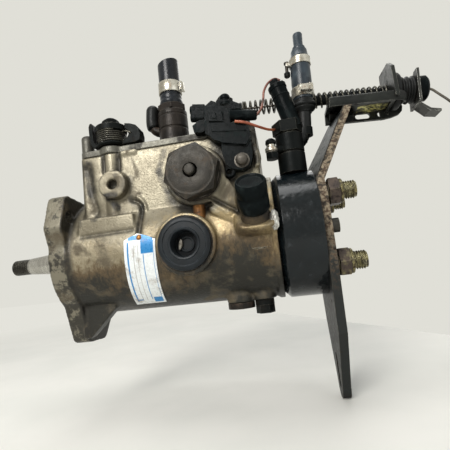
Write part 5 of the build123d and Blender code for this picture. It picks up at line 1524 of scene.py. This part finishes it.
@dataclass
class StopLeverStack(Assembly):
    """The stop lever on its shaft, with its coiled return spring and disc."""

    x: float = 44.5
    y: float = -28.0

    def build(self) -> None:
        """Builds the spring, the lever and its shaft and dresses the disc."""
        coil = wound(upright(self.x, self.y, 78.4), 10.1, np.array([0.5, 8.3]), 5.2, disc(0.56, 8), 230)
        leg = np.array([[9.6, -3, 86], [13, -5.2, 85], [16.5, -4.8, 83.4]]) + [self.x, self.y, 0]
        hook = swept(leg, UP, disc(0.66, 8))
        self.piece("stop_coil", [coil, hook], Look.DARK_STEEL, stands_for=("stop_spring",), slot="dark_steel")
        self.dress(Look.BLACK_IRON, "stop_disc")
        self.lever()
        self.shaft()

    def lever(self) -> None:
        """The pressed lever: a cup under the coil, an ear at its left and a hooked arm at its right."""
        cup = [(3.2, 75.9), (10, 75.9), (10.9, 76.5), (10.9, 77.5), (10.2, 78.1), (3.2, 78.1)]
        ear = [
            (-9, 76), (-12.2, 76.4), (-14, 79), (-15, 86), (-15.2, 92.4), (-14.4, 94.8), (-12.8, 95.2),
            (-12, 93), (-11.9, 86), (-11.4, 80.6), (-9, 78),
        ]
        arm = [
            (9, 76), (19.6, 76.2), (23, 77.4), (23.4, 81.4), (22.6, 85.6), (20.2, 88.8), (16, 90.6),
            (12, 91.4), (11.6, 87.6), (14, 85.8), (14.6, 82.8), (13, 80.2), (9, 78),
        ]
        front = fronting(self.x, self.y, 0)
        self.piece(
            "stop_lever_pressing",
            [
                turned(upright(self.x, self.y, 0), cup, 56, ring=True), plate(front, ear, -5, 5),
                plate(front, arm, -4.4, 4.4),
            ],
            Look.BLACK_IRON, stands_for=("stop_lever",), slot="black_iron", bevel=0.8,
        )

    def shaft(self) -> None:
        """The lever's shaft with its inner finger and the low domed nut."""
        at = upright(self.x, self.y, 0)
        stem = [(0, 60.5), (4.5, 60.5), (4.5, 64), (3, 64), (3, 92.7), (0, 92.7)]
        finger = plate(at.turned(60), [(0, -2), (15, -2), (15, 2), (0, 2)], 60.6, 63.9)
        dome = [(0, 95.6), (4.9, 95.6), (4.6, 96.6), (3.6, 97.6), (1.9, 98.2), (0, 98.3)]
        self.piece(
            "stop_shaft_and_nut",
            [turned(at, stem, 40), finger, hexagon(at.moved(c=92.7), 11, 3.6, 0.9), turned(at, dome, 40)],
            Look.BLACK_IRON, stands_for=("stop_shaft",), slot="plated_steel", bevel=0.25,
        )


@dataclass
class ReturnFitting(Assembly):
    """The fuel return union on the cover, with its cut hose and clip."""

    x: float = 86.5
    y: float = -10.0

    def build(self) -> None:
        """Builds the union, its hose and clip, and the cap on its branch."""
        self.union()
        self.hose()
        self.branch_cap()
        clip_at = upright(self.x, self.y, 117.6)
        clip = EarClip(self.maker, "return_hose_clip", clip_at, radius=8.35, width=8.8, turn=-12, swell=0.55)
        clip.build(("hose_clips",))

    def union(self) -> None:
        """The union's turned body with its lines, its hexagon and stub, and the neck of its branch."""
        at = upright(self.x, self.y, 0)
        body = [
            (0, COVER_TOP), (11.8, COVER_TOP), (11.8, 76.4), (11.2, 77), (11.2, 78.2), (11.2, 87.8),
            (10.7, 88.2), (10.7, 89), (11.2, 89.4), (11.2, 98), (10.8, 98.4), (10.8, 98.9), (11.1, 99.3),
            (11.1, 102.2), (10.4, 103), (0, 103),
        ]
        stub = [(0, 107), (5.4, 107), (5.4, 123), (4.6, 124), (0, 124)]
        neck = swept(
            smooth_line([(79, -10, 88.6), (74, -10, 89.8), (70.8, -10, 93.2), (70, -10, 97)], 24), ACROSS,
            disc(3.5, 24),
        )
        nut = hexagon(at.moved(c=102.6).turned(12), 20, 5.6, 1.2)
        self.piece(
            "return_union_body", [turned(at, body, 64), nut, turned(at, stub, 40), neck], Look.BROWN_STEEL,
            stands_for=("return_union",), slot="yellow_zinc", bevel=0.25,
        )

    def hose(self) -> None:
        """The cut hose, nipped under its clip; its mouth rises with x, z(u) = top + slant r cos u."""
        base, top, slant = 108, 143.1, 0.2375
        u = around(64)
        steps = np.linspace(0, 1, 40)

        def wall(radii: Array) -> Array:
            """One wall's rows, from the base up to the slanted mouth."""
            mouth = top + slant * radii[-1] * np.cos(u)
            height = base + steps[:, None] * (mouth[None, :] - base)
            r = np.interp(height, base + steps * (top - base), radii)
            return np.stack([self.x + r * np.cos(u), self.y + r * np.sin(u), height], -1)

        level = base + steps * (top - base)
        swells = ((0.8, 110.6, 1.6), (0.4, 115, 1.4), (-0.3, 122, 5))
        outer = 8.0 + sum(size * np.exp(-(((level - at) / width) ** 2)) for size, at, width in swells)
        inner = np.where(level < 124, 5.45, 5.05)
        grid = np.concatenate([wall(outer), wall(inner)[::-1]])
        self.piece(
            "return_hose_rubber", [lattice(grid, close_rows=True)], Look.BLACK_HOSE,
            stands_for=("return_hose",), slot="hose_rubber", sharp=50,
        )

    def branch_cap(self) -> None:
        """The bent rubber cap on the union's side branch: a round section along a hook, domed at its end."""
        line = smooth_line([(71.4, -10, 92.2), (70.4, -10, 96), (70.6, -10, 102), (71.6, -10, 111)], 34)
        s = np.linspace(0, 1, 34)
        size = np.interp(s, [0, 0.06, 0.16, 0.88, 0.95, 1], [0.55, 0.85, 1, 1, 0.84, 0.5])
        cap = swept(line, ACROSS, disc(5, 28), size)
        self.piece("branch_cap", [cap], Look.RUBBER, slot="hose_rubber", sharp=50)


@dataclass
class HoseClip(Assembly):
    """A band round a hose, with something on it that pulls it tight."""

    name: str
    axes: Axes
    radius: float
    width: float
    turn: float
    swell: float = 0.5

    def band(self) -> Patch:
        """The band, whose middle swells past its rolled edges."""
        r, w = self.radius, self.width
        rim, out = r + 0.35, r + self.swell
        section = [(r - 0.5, 0), (rim, 0), (out, 0.4), (out, w - 0.4), (rim, w), (r - 0.5, w)]
        return turned(self.axes, section, 64, ring=True)


class EarClip(HoseClip):
    """A clip with one pinched ear."""

    def build(self, stands_for: Sequence[str] = ()) -> None:
        """Builds the band and its ear, whose outline bulges past the band."""
        r = self.radius
        half = [(r - 0.2, -2.4), (r + 0.9, -2), (r + 1.3, -2.9), (r + 2.5, -3.2), (r + 3.1, -2.2)]
        outline = half + [(a, -b) for a, b in reversed(half)]
        shells = [self.band(), plate(self.axes.turned(self.turn), outline, 0.9, self.width - 0.9)]
        self.piece(self.name, shells, Look.BAND, stands_for=stands_for, slot="plated_steel", bevel=0.25)


class WormClip(HoseClip):
    """A worm-drive clip, with its teeth, a screw housing and a hexagon screw."""

    def build(self) -> None:
        """Builds the band with its raised teeth, the housing and the screw."""
        r, w = self.radius, self.width
        shells = [self.band()]
        tooth = [(r + 0.3, -0.35), (r + 0.95, -0.2), (r + 0.95, 0.2), (r + 0.3, 0.35)]
        for step in range(14):
            shells.append(plate(self.axes.turned(self.turn + 40 + step * 9), tooth, 1.6, w - 1.6))
        seat = self.axes.turned(self.turn)
        _, y, z = seat.basis()
        middle = seat.place(np.array([r + 2.3, 0, w / 2]))
        screw = Axes(*(tuple(float(c) for c in row) for row in (middle, z, y)))
        saddle = [(r + 0.2, -4.2), (r + 1, -4.6), (r + 1, 4.6), (r + 0.2, 4.2)]
        shells.append(plate(seat, saddle, 0.6, w - 0.6))
        shells.append(plate(screw, arc(2.7, 0, 360, 29)[:-1], -3.3, 3.3))
        shells.append(hexagon(screw.moved(c=3), 5, 2.6, 1))
        shells.append(turned(screw.moved(c=2.8), [(0, 0.8), (3.2, 0.8), (3.2, 0), (0, 0)], 32))
        self.piece(self.name, shells, Look.BAND, slot="plated_steel", bevel=0.2)


@dataclass
class Head(Assembly):
    """The black hydraulic head with its outlets and the bracket bolted behind it."""

    offset: float = 23.0
    outlet_x: float = 182.5

    def build(self) -> None:
        """Builds the outlets and the strut's fold and dresses the head, its bolts and its bracket."""
        self.dress(Look.HEAD, "hydraulic_head")
        self.dress(Look.BLACK_IRON, "head_lock_bolt")
        self.dress(Look.RUST, "rear_bracket")
        self.dress(Look.BROWN_STEEL, "drain_plug")
        self.dress(Look.DARK_STEEL, "bracket_screws")
        self.outlets()
        self.strut_fold()

    def strut_fold(self) -> None:
        """The strut's black face, which bends later on its far side.

        x(z, y) = face(z) - t(z) (y - near(z)) / (far(z) - near(z)), t the twist.
        """
        fold, slope = 31.7, 0.5284
        height = np.linspace(32.2, 86, 22)
        face = 182.9 + slope * (height - fold)
        near = np.interp(height, [31, 35, 87.2], [-31, -29.6, -7.2])
        far = np.interp(height, [31, 35, 78, 83.6, 87], [37.6, 37.6, 29.6, 28.1, 28])
        twist = np.interp(height, [fold, 50, 86], [0.6, 10.2, 6.2])
        rows = [(face, near), (face - twist * 0.5, (near + far) / 2), (face - twist, far), (face, far)]
        grid = np.stack([np.stack([x, y, height], -1) for x, y in rows], 1)
        shell = lattice(grid)
        last = 4 * (len(height) - 1)
        shell = Patch(shell.points, shell.faces + [[0, 1, 2, 3], [last + 3, last + 2, last + 1, last]])
        self.piece("rear_bracket_twist", [shell], Look.BLACK_PLASTIC, slot="yellow_zinc", sharp=40)

    def outlets(self) -> None:
        """The four outlet unions: a chamfered hexagon, a collar and a threaded tip with a coned mouth."""
        bodies, tips = [], []
        for y in (-self.offset, self.offset):
            for z in (-self.offset, self.offset):
                at = endwise(self.outlet_x, y, z)
                bodies.append(turned(at, [(0, -10.4), (6.95, -10.4), (6.95, 7.5), (0, 7.5)], 40))
                bodies.append(hexagon(at.moved(c=7.5).turned(30), 17, 7.2, 1))
                tips.append(
                    turned(at, [(0, 14.5), (7.6, 14.5), (8.1, 15), (8.1, 16.2), (7.6, 16.7), (0, 16.7)], 40)
                )
                tip = [(0, 16), (5.15, 16), (5.15, 25.2), (3.9, 25.4), (3, 24.4), (2, 20), (0, 20)]
                tips.append(turned(at, tip, 40))
                tips.append(thread(at.moved(c=16.9), 6, 1.5, 8.2))
        self.piece(
            "outlet_bodies", bodies, Look.UNION_HEX, stands_for=("outlet_unions",), slot="yellow_zinc",
            bevel=0.15,
        )
        self.piece("outlet_threads", tips, Look.YELLOW, slot="yellow_zinc", bevel=0.1)


class InletTower(Assembly):
    """The inlet body on the head, with the stop solenoid, the feed hose, its clips and its nozzle."""

    def build(self) -> None:
        """Builds the soft pieces, clips and leads and dresses the rest."""
        self.dress(Look.BLACK_IRON, "inlet_body")
        self.dress(Look.BLACK_PLASTIC, "stop_solenoid")
        self.hose()
        self.elbow()
        WormClip(self.maker, "feed_worm_clip", on_inlet(97.6), radius=7.5, width=7.2, turn=-84).build()
        self.band_clip()
        self.terminal()
        self.leads()
        self.zinc_fitting()

    def hose(self) -> None:
        """The feed hose, its drooping collar and the nozzle in its upper end."""
        wall = [
            (6.1, 95.5), (7, 96), (7.35, 98), (7.2, 102), (7.15, 105), (7.4, 109), (7.35, 116), (7.15, 121),
            (7.1, 126), (7.3, 128.5), (6.9, 129.6), (6.3, 130.2), (6.1, 133.6), (5.7, 135), (3.9, 135),
            (3.9, 95.5),
        ]
        base = on_inlet(INLET_FOOT)
        hose = turned(base, [(r, h - INLET_FOOT) for r, h in wall], 56, ring=True)
        self.piece(
            "feed_hose_rubber", [hose], Look.HOSE, stands_for=("inlet_hose",), slot="hose_rubber", sharp=50
        )
        lip = [
            (4, 86.2), (5.6, 86), (6.4, 87.4), (7.9, 88.2), (8.4, 89), (7.9, 89.7), (7.5, 90), (8.7, 90.6),
            (9.1, 91.5), (8.7, 92.4), (7.6, 92.9), (7.2, 95.6), (4, 95.8),
        ]
        collar = turned(base, [(r, h - INLET_FOOT) for r, h in lip], 56, ring=True)
        self.piece("feed_collar_rubber", [collar], Look.RUBBER, slot="hose_rubber", sharp=50)
        barb = [
            (2, 124), (3.8, 124), (3.8, 135), (4.6, 135.2), (4.8, 136), (4.6, 137.4), (3.7, 137.9),
            (3.45, 139), (3.6, 147.6), (3.2, 148.4), (2, 148.4),
        ]
        nozzle = turned(base, [(r, h - INLET_FOOT) for r, h in barb], 48, ring=True)
        self.piece(
            "feed_nozzle", [nozzle], Look.HOSE, stands_for=("inlet_nozzle",), slot="black_plastic", sharp=40
        )

    def elbow(self) -> None:
        """The feed pipe, a round section that swells a little where it bends into the inlet body."""
        route = [
            (184.4, -7.5, 92), (183.6, -7.5, 84), (182.6, -7.5, 75.6), (180.2, -7.5, 69.4), (176, -7.5, 65),
            (170, -7.5, 62.6),
        ]
        size = np.interp(np.linspace(0, 1, 48), [0, 0.45, 0.66, 1], [1, 1, 1.08, 1.1])
        pipe = swept(smooth_line(route, 48), ACROSS, disc(5.1, 32), size)
        self.piece("feed_elbow", [pipe], Look.RUBBER, slot="black_iron", sharp=50)

    def band_clip(self) -> None:
        """The thin upper band with its small upright screw on the side away from the drive."""
        at = on_inlet(122.3)
        band = turned(at, [(6.9, 0), (7.7, 0), (7.9, 0.3), (7.9, 5.4), (7.7, 5.7), (6.9, 5.7)], 64, ring=True)
        ear = block(at.moved(a=-8.8), 3, 4, 1.6, 4.2)
        self.piece("feed_band_clip", [band, ear], Look.BAND, slot="plated_steel", bevel=0.2)
        shank = turned(
            at.moved(a=-9.8), [(0, -4.6), (1.2, -4.6), (1.2, 3.6), (1.9, 4), (1.9, 5.2), (0, 5.4)], 28
        )
        self.piece("band_clip_screw", [shank], Look.HEX_PLUG, slot="plated_steel")
        nut = turned(
            at.moved(a=-9.8), [(0, -6.6), (1.7, -6.4), (2.3, -5.6), (2.3, -3.2), (1.7, -2.6), (0, -2.6)], 28
        )
        self.piece("band_clip_nut", [nut], Look.BLACK_IRON, slot="black_iron")

    def terminal(self) -> None:
        """The solenoid's rim and the small terminal block on its top."""
        top = on_solenoid(29)
        rim = turned(
            top,
            [(0, 0.9), (5, 0.9), (5.2, 1.5), (6.2, 1.6), (6.7, 1.1), (6.7, -1.8), (6.1, -2.3), (0, -2.3)],
            48,
        )
        post = block(top.moved(a=-0.5, b=1.2), 5.4, 5.6, 0.8, 5.4)
        tab = block(top.moved(a=0.4, b=-5), 3.4, 1, 0.5, 3.6)
        ridge = turned(top, [(5.6, -7), (6.5, -7.2), (6.5, -8.4), (5.6, -8.6)], 48, ring=True)
        self.piece(
            "solenoid_terminal", [rim, post, tab, ridge], Look.BLACK_PLASTIC, slot="black_plastic",
            bevel=0.3,
        )

    def leads(self) -> None:
        """The brown lead of the solenoid and the orange lead of the switch, as smooth swept lines."""
        brown = [
            (170, -12, 112.4), (166, -12.2, 114.2), (161, -13, 111.4), (157.4, -16, 104.4),
            (156, -22, 95.2), (153.8, -30, 85.2), (150.2, -36.6, 78.4),
        ]
        orange = [
            (136.2, -44.2, 73.4), (142.5, -44.2, 71.6), (150.5, -37, 70.2), (156.5, -25, 72),
            (161.5, -14, 75),
        ]
        for name, route, radius, look, node in (
            ("brown_lead", brown, 0.85, Look.BROWN_LEAD, "solenoid_lead"),
            ("orange_lead", orange, 0.9, Look.ORANGE_LEAD, "switch_lead"),
        ):
            line = smooth_line(route, 70)
            lead = swept(line, (0.3, 0.9, 0.1), disc(radius, 12))
            self.piece(name, [lead], look, stands_for=(node,), slot="lead_red")

    def zinc_fitting(self) -> None:
        """A small bright fitting with a black nut between the casting and the inlet body."""
        at = upright(157.2, -18.5, 52)
        bright = turned(
            at, [(0, 4.4), (3.2, 4.4), (3.4, 5.6), (4.4, 6), (4.4, 8.2), (3.4, 8.7), (3, 11.2), (0, 11.2)],
            32,
        )
        knob = turned(at, [(0, 10.4), (3.2, 10.6), (3.8, 11.8), (3.4, 14), (1.8, 15.2), (0, 15.4)], 32)
        nut = hexagon(at.moved(c=0.2), 8, 4.8, 1)
        arm = Axes((157.2, -18.5, 59.4), UP, (1, 0.3, 0))
        link = turned(arm, [(0, 0), (2.4, 0), (2.4, 12.5), (0, 12.5)], 28)
        self.piece("bleed_fitting", [bright], Look.BAND, slot="plated_steel")
        self.piece("bleed_fitting_nut", [nut, knob, link], Look.BLACK_IRON, slot="black_iron", bevel=0.2)


class ThrottleGear(Assembly):
    """The throttle lever, its shaft and the switch on the side of the casting."""

    def build(self) -> None:
        """Builds the switch and its bolt and dresses the lever and its shaft."""
        self.dress(Look.BLACK_IRON, "throttle_lever", "throttle_shaft")
        self.switch()
        head = fronting(137.6, -40.6, 48.2)
        dome = [(0, 6), (1.9, 5.8), (3.1, 5.1), (3.7, 4.1), (4, 3), (4, 0.8), (5, 0.7), (5, 0), (0, 0)]
        self.piece("switch_bolt", [turned(head, dome, 40)], Look.CABLE_STEEL, slot="black_iron")

    def switch(self) -> None:
        """The throttle switch: a box with two plug barrels, a tongue, a sloping body and a leg."""
        box = [
            (116.6, 87.6), (122.5, 88.8), (129.5, 86.2), (133, 84), (133, 72), (127, 65), (119.5, 66.5),
            (115.6, 69.5),
        ]
        body = [
            (118.5, 76), (129, 74.8), (144.2, 71.5), (145.2, 63), (141.5, 57.5), (127, 61), (120.5, 64.5),
            (117.2, 69),
        ]
        leg = [
            (125.6, 64), (144.6, 62), (145, 52), (143, 44.6), (138, 42.2), (131.5, 43), (127.2, 46.5),
            (125.2, 55),
        ]
        tongue = [(107.2, 77.2), (112.4, 80.4), (118, 80.2), (118.2, 73.4), (113.4, 71.6), (108, 72.4)]
        finger = [(114.6, 88), (121.6, 92.8), (124.6, 91.2), (122, 86), (116, 85)]
        arm = [(123.6, 90), (127.2, 92.6), (134, 91), (141.4, 86.6), (141, 83.6), (131, 84.6), (124, 86.4)]
        layers = [
            (box, 32, 41.5),
            ([(119.5, 84.5), (128.5, 82.6), (128.5, 75.4), (119, 77)], 40, 43.2),
            ([(121.6, 82.2), (124.4, 81.6), (124.4, 77.6), (121.4, 78.2)], 42.6, 44.2),
            (body, 33, 43),
            ([(120, 72), (142.6, 68.4), (143, 66.4), (120.6, 69.4)], 42.4, 43.8),
            (leg, 32.5, 40.8),
            (tongue, 32, 40),
            (finger, 33.5, 39.5),
            (arm, 34, 39.4),
        ]
        shells = [plate(NEAR, outline, low, high) for outline, low, high in layers]
        for z in (88.6, 83.4):
            at = Axes((106.4, -36.6, z + 1), ACROSS, (1, 0, -0.17))
            barrel = [
                (0, 0), (2.7, 0), (3.1, 0.5), (3.1, 3.4), (2.8, 3.7), (2.8, 5.2), (3.1, 5.6), (3.1, 12),
                (0, 12),
            ]
            shells.append(turned(at, barrel, 32))
        shells.append(block(Axes((112, -37, 87), (1, 0, -0.17), NEARWARD), 8.6, 9.6, -3.4, 2.6))
        knob = [
            (0, 0), (4.4, 0), (4.4, 2.2), (2.7, 3), (2.7, 4.6), (3.3, 5.2), (3.3, 7.2), (2.4, 8.2), (0, 8.4)
        ]
        shells.append(turned(upright(130.6, -36.4, 88.2), knob, 36))
        boot_at = Axes((131, -37, 81.4), ACROSS, (1, 0, -0.16))
        boot = [
            (0, 0), (4.2, 0), (4.4, 1), (4.4, 3), (3.9, 3.8), (3.9, 8), (3.6, 8.6), (3.7, 13), (3.4, 19),
            (2.6, 19.8), (0, 19.8),
        ]
        shells.append(turned(boot_at, boot, 36))
        eye = [(1.9, 0), (3.6, 0), (4.3, 0.8), (4.3, 3.2), (3.6, 4), (1.9, 4)]
        shells.append(turned(fronting(128.4, -35.5, 42.6), eye, 36, ring=True))
        self.piece(
            "throttle_switch_moulding", shells, Look.BLACK_PLASTIC, stands_for=("throttle_switch",),
            slot="black_plastic", bevel=0.7,
        )


@dataclass
class CableStation(Assembly):
    """The throttle cable's bracket, stop, spring and wire."""

    lever_x: float = 135.0
    wire_x: float = 136.5
    spring_x: float = 139.0
    spring_end: float = 248.2
    travel: float = 16.05
    rail_x: float = 204.0
    bolt_x: float = 206.0
    stop_x: float = 251.2
    wire_r: float = 0.9
    wire_m: float = 0.229


    def build(self) -> None:
        """Builds the rail, spring, grommet, bolt and wire and dresses the bracket, adjuster and clip."""
        self.dress(Look.CABLE_PLATE, "cable_bracket")
        self.dress(Look.BLACK_PLASTIC, "cable_adjuster")
        self.dress(Look.CLIP_PLATE, "cable_clip")
        self.rail()
        self.spring()
        self.grommet()
        self.bolt()
        self.wire()

    def rail(self) -> None:
        """The bracket's rolled near edge: a rounded bar along the cable that curls inward at its far end."""
        side, low, length, bend = -15, -9.2, 46.5, 7.0
        run = np.linspace(0, length, 24)
        turn = np.radians(np.linspace(8, 80, 10))
        straight = np.stack([np.full(24, side), np.full(24, low), run], 1)
        curl = np.stack([side + bend * (1 - np.cos(turn)), np.full(10, low), length + bend * np.sin(turn)], 1)
        line = on_cable(self.rail_x).place(np.vstack([straight, curl]))
        oval = [(1.7 * math.cos(t), 3.7 * math.sin(t)) for t in around(28).tolist()]
        outward = np.cross(np.gradient(line, axis=0), on_cable(self.rail_x).basis()[1])
        bar = swept(line, outward, oval)
        corner = [(244, 82), (252, 82.6), (257.5, 84), (260.4, 86.6), (261.2, 90), (260.8, 92.6), (244, 93.4)]
        flap = plate(NEAR, corner, -22, -19.4)
        self.piece("bracket_rolled_edge", [bar], Look.CABLE_PLATE, slot="yellow_zinc", sharp=50)
        self.piece("bracket_round_corner", [flap], Look.CABLE_PLATE, slot="yellow_zinc", bevel=0.4)

    def spring(self) -> None:
        """The long return spring round the throttle cable."""
        length = cable_run(self.spring_x, self.spring_end)
        heights = np.array([0.7] + np.linspace(2, length - 2, 24).tolist() + [length - 0.7])
        coil = wound(on_cable(self.spring_x), 5.3, heights, 28, disc(0.74, 8), 30)
        made = self.piece(
            "throttle_return_coil", [coil], Look.DARK_STEEL, stands_for=("throttle_return_spring",),
            slot="dark_steel",
        )
        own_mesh(made)

    def grommet(self) -> None:
        """The ribbed rubber stop: a flange and three ribs, r(h) = 8.7 + 1.35 sin^2(pi (h - 5) / 3.67)."""
        ribs = np.linspace(5, 16, 45)
        wave = 8.7 + 1.35 * np.sin(np.pi * (ribs - 5) / 3.67) ** 2
        profile = [(4.1, 0), (12.8, 0), (13.5, 0.8), (13.5, 3.4), (12.6, 4.6), (10.4, 5)]
        profile += list(zip(wave.tolist(), ribs.tolist())) + [(4.1, 16)]
        shell = turned(on_cable(self.stop_x), profile, 56, ring=True)
        self.piece(
            "cable_stop_rubber", [shell], Look.RUBBER, stands_for=("cable_grommet",), slot="hose_rubber",
            sharp=50,
        )

    def bolt(self) -> None:
        """The bolt that holds the cable bracket to the rear bracket."""
        at = on_cable(self.bolt_x).moved(a=4, b=-12.4)
        shank = turned(at, [(0, 0), (3.2, 0), (3.2, 12), (0, 12)], 32)
        head = hexagon(at.moved(c=11.5), 10, 5.5, 1)
        self.piece("bracket_bolt", [shank, head], Look.BLACK_IRON, slot="yellow_zinc", bevel=0.2)

    def wire(self) -> None:
        """The throttle wire with its nipples: a smooth line from the lever out through the stop."""
        def at(x: float) -> Point:
            """The cable's point over x."""
            return on_cable(x).origin

        route = [
            at(self.wire_x), at(200), at(268), at(279), (283.6, 10, 91.5), (291.5, 10, 83.4), (301, 10, 68),
            (305, 10, 46), (300, 10, 20),
        ]
        curve = bpy.data.curves.new("throttle_wire_line", "CURVE")
        curve.dimensions = "3D"
        curve.bevel_depth = self.wire_r * MM
        curve.bevel_resolution = 3
        curve.resolution_u = 16
        curve.use_fill_caps = True
        line = curve.splines.new("NURBS")
        line.points.add(len(route) - 1)
        for spot, place in zip(line.points, route):
            spot.co = (*metres(place), 1)
        line.order_u = 3
        line.use_endpoint_u = True
        made = linked("throttle_wire_line", curve)
        self.maker.settle(made, Look.CABLE_STEEL, "wire", ("throttle_wire",), "bright_steel")
        top = at(self.lever_x)[2]
        nipple = turned(
            upright(self.lever_x, 10, top - 3),
            [(0, 0), (2.9, 0), (3.2, 0.4), (3.2, 5.6), (2.9, 6), (0, 6)], 32,
        )
        pin = turned(upright(self.lever_x, 10, 92.7), [(0, 0), (1.5, 0), (1.5, top - 94), (0, top - 94)], 24)
        washer = turned(on_cable(137), [(0.8, 0), (5.2, 0), (5.2, 1.6), (0.8, 1.6)], 40, ring=True)
        lever_end = self.piece(
            "wire_lever_nipple", [nipple, pin, washer], Look.BROWN_STEEL, "wire", slot="bright_steel",
            bevel=0.15,
        )
        far = turned(fronting(300, 13.5, 17.5), [(0, 0), (2.7, 0), (3, 0.4), (3, 6.6), (2.7, 7), (0, 7)], 32)
        pedal_end = self.piece("wire_pedal_nipple", [far], Look.PLATED, "wire", slot="bright_steel")


# ---- the studio


def aimed(made: Thing, axes: Sequence[Array], spot: Array) -> None:
    """Places a lamp or a camera by the directions of its x, y and z, and its spot in metres."""
    pose = np.eye(4)
    pose[:3] = np.column_stack([*axes, spot])
    made.matrix_world = Matrix(pose.tolist())


@dataclass
class Studio:
    """A pale table, soft lamps and the camera."""

    floor_z: float = -113.0
    focal_px: float = 360.0
    distance: float = 270.0
    azimuth: float = 8.3
    elevation: float = -7.5
    roll: float = 6.35
    look_at: Point = (116.0, 0.0, 13.4)
    picture_px: float = 450.0
    sensor_mm: float = 36.0
    table: Colour = (236, 234, 226)
    table2: Colour = (228, 227, 219)
    backdrop: Colour = (224, 223, 215)
    sky: Colour = (232, 236, 240)
    ambient: float = 0.36

    def build(self) -> None:
        """Sets up the floor, world, lamps and camera."""
        scene = bpy.context.scene
        scene.view_settings.view_transform = "Standard"
        self.floor()
        self.world()
        self.lamp("key_lamp", (-0.26, -0.90, 0.52), size=0.42, power=9.6, colour=(1.0, 0.985, 0.96))
        self.lamp("top_lamp", (-0.10, -0.15, 1.15), size=0.60, power=4.7, colour=(1.0, 1.0, 0.99))
        self.lamp("fill_lamp", (0.95, -0.75, 0.30), size=0.80, power=1.8, colour=(0.95, 0.975, 1.0))
        self.lamp("back_lamp", (0.1, 0.80, 1.0), size=0.90, power=4.0, colour=(1.0, 1.0, 1.0))
        self.camera()

    def floor(self) -> None:
        """The table top, whose far edge closes the view: a flat slab cut straight along its right side."""
        corners = [(-1900, -1600), (1353, -1600), (379, 58), (-1100, 2570), (-2600, 2570)]
        rim = plate(upright(0, 0, self.floor_z - 0.05), corners, -12.0, 0.0)
        mesh = bpy.data.meshes.new("table_top")
        mesh.from_pydata((rim.points * MM).tolist(), [], rim.faces)
        Maker.tidy(mesh, 30)
        made = linked("table_top", mesh)
        surface = bpy.data.materials.new("pale_table")
        surface.use_nodes = True
        g = Graph(surface.node_tree)
        shader = surface.node_tree.nodes["Principled BSDF"]
        where = g.here()
        cloud = g.ramp(g.noise(where, 9.0, 4.0), 0.3, 0.7)
        g.feed(shader.inputs["Base Color"], g.blend(cloud, linear(self.table), linear(self.table2)))
        g.feed(shader.inputs["Roughness"], g.ramp(cloud, 0.0, 1.0, 0.55, 0.7))
        away = g.vector("DISTANCE", where, (0.12, 0.06, self.floor_z * MM), "Value")
        glow = g.add("Emission", {"Color": linear(self.table2), "Strength": 1.0})
        shown = g.mixed(g.times(g.ramp(away, 0.25, 0.95), g.viewed()), shader, glow)
        g.feed(surface.node_tree.nodes["Material Output"].inputs["Surface"], shown)
        mesh.materials.append(surface)

    def world(self) -> None:
        """Pale surroundings: even light on the pump, and an off-white seen behind it."""
        world = bpy.data.worlds.new("pale_room")
        bpy.context.scene.world = world
        world.use_nodes = True
        g = Graph(world.node_tree)
        for node in list(world.node_tree.nodes):
            world.node_tree.nodes.remove(node)
        light = g.add("Background", {"Color": linear(self.sky), "Strength": self.ambient})
        shown = g.add("Background", {"Color": linear(self.backdrop), "Strength": 1.0})
        g.add("OutputWorld", {"Surface": g.mixed(g.viewed(), light, shown)})

    def lamp(self, name: str, at: Point, size: float, power: float, colour: Point) -> None:
        """A square soft lamp that faces the pump, placed from a point under its middle."""
        data = bpy.data.lights.new(name, "AREA")
        data.shape = "SQUARE"
        data.size = size
        data.energy = power
        data.color = colour
        middle = self.look_at[0] * MM
        spot = np.array(at) + [middle, 0.0, 0.0]
        z = spot - [middle, 0.0, 0.01]
        z /= np.linalg.norm(z)
        x = np.cross(UP, z)
        x /= np.linalg.norm(x)
        aimed(linked(name, data), (x, np.cross(z, x), z), spot)

    def camera(self) -> None:
        """The camera, from its azimuth, elevation and roll about the point it looks at."""
        a, e, roll = (math.radians(v) for v in (self.azimuth, self.elevation, self.roll))
        ahead = -np.array([math.sin(a) * math.cos(e), -math.cos(a) * math.cos(e), math.sin(e)])
        right = np.cross(ahead, UP)
        right /= np.linalg.norm(right)
        above = np.cross(right, ahead)
        x = math.cos(roll) * right - math.sin(roll) * above
        y = math.sin(roll) * right + math.cos(roll) * above
        spot = (np.array(self.look_at) - self.distance * ahead) * MM
        data = bpy.data.cameras.new("camera")
        data.sensor_width = self.sensor_mm
        data.lens = self.focal_px / self.picture_px * self.sensor_mm
        data.clip_start, data.clip_end = 0.005, 20.0
        made = linked("camera", data)
        aimed(made, (x, y, -ahead), spot)
        bpy.context.scene.camera = made


def main() -> None:
    """Builds the pump's looks in order."""
    logging.basicConfig(level=logging.INFO, format="%(name)s: %(message)s")
    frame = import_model()
    Studio().build()
    maker = Maker(frame, Wardrobe(Effects()))
    for kind in (
        Casting, DriveEnd, AdvanceUnit, ColdStart, StopLeverStack, ReturnFitting, Head, InletTower,
        ThrottleGear, CableStation,
    ):
        kind(maker).build()
        LOG.info("built %s", kind.__name__)


if __name__ == "__main__":
    main()
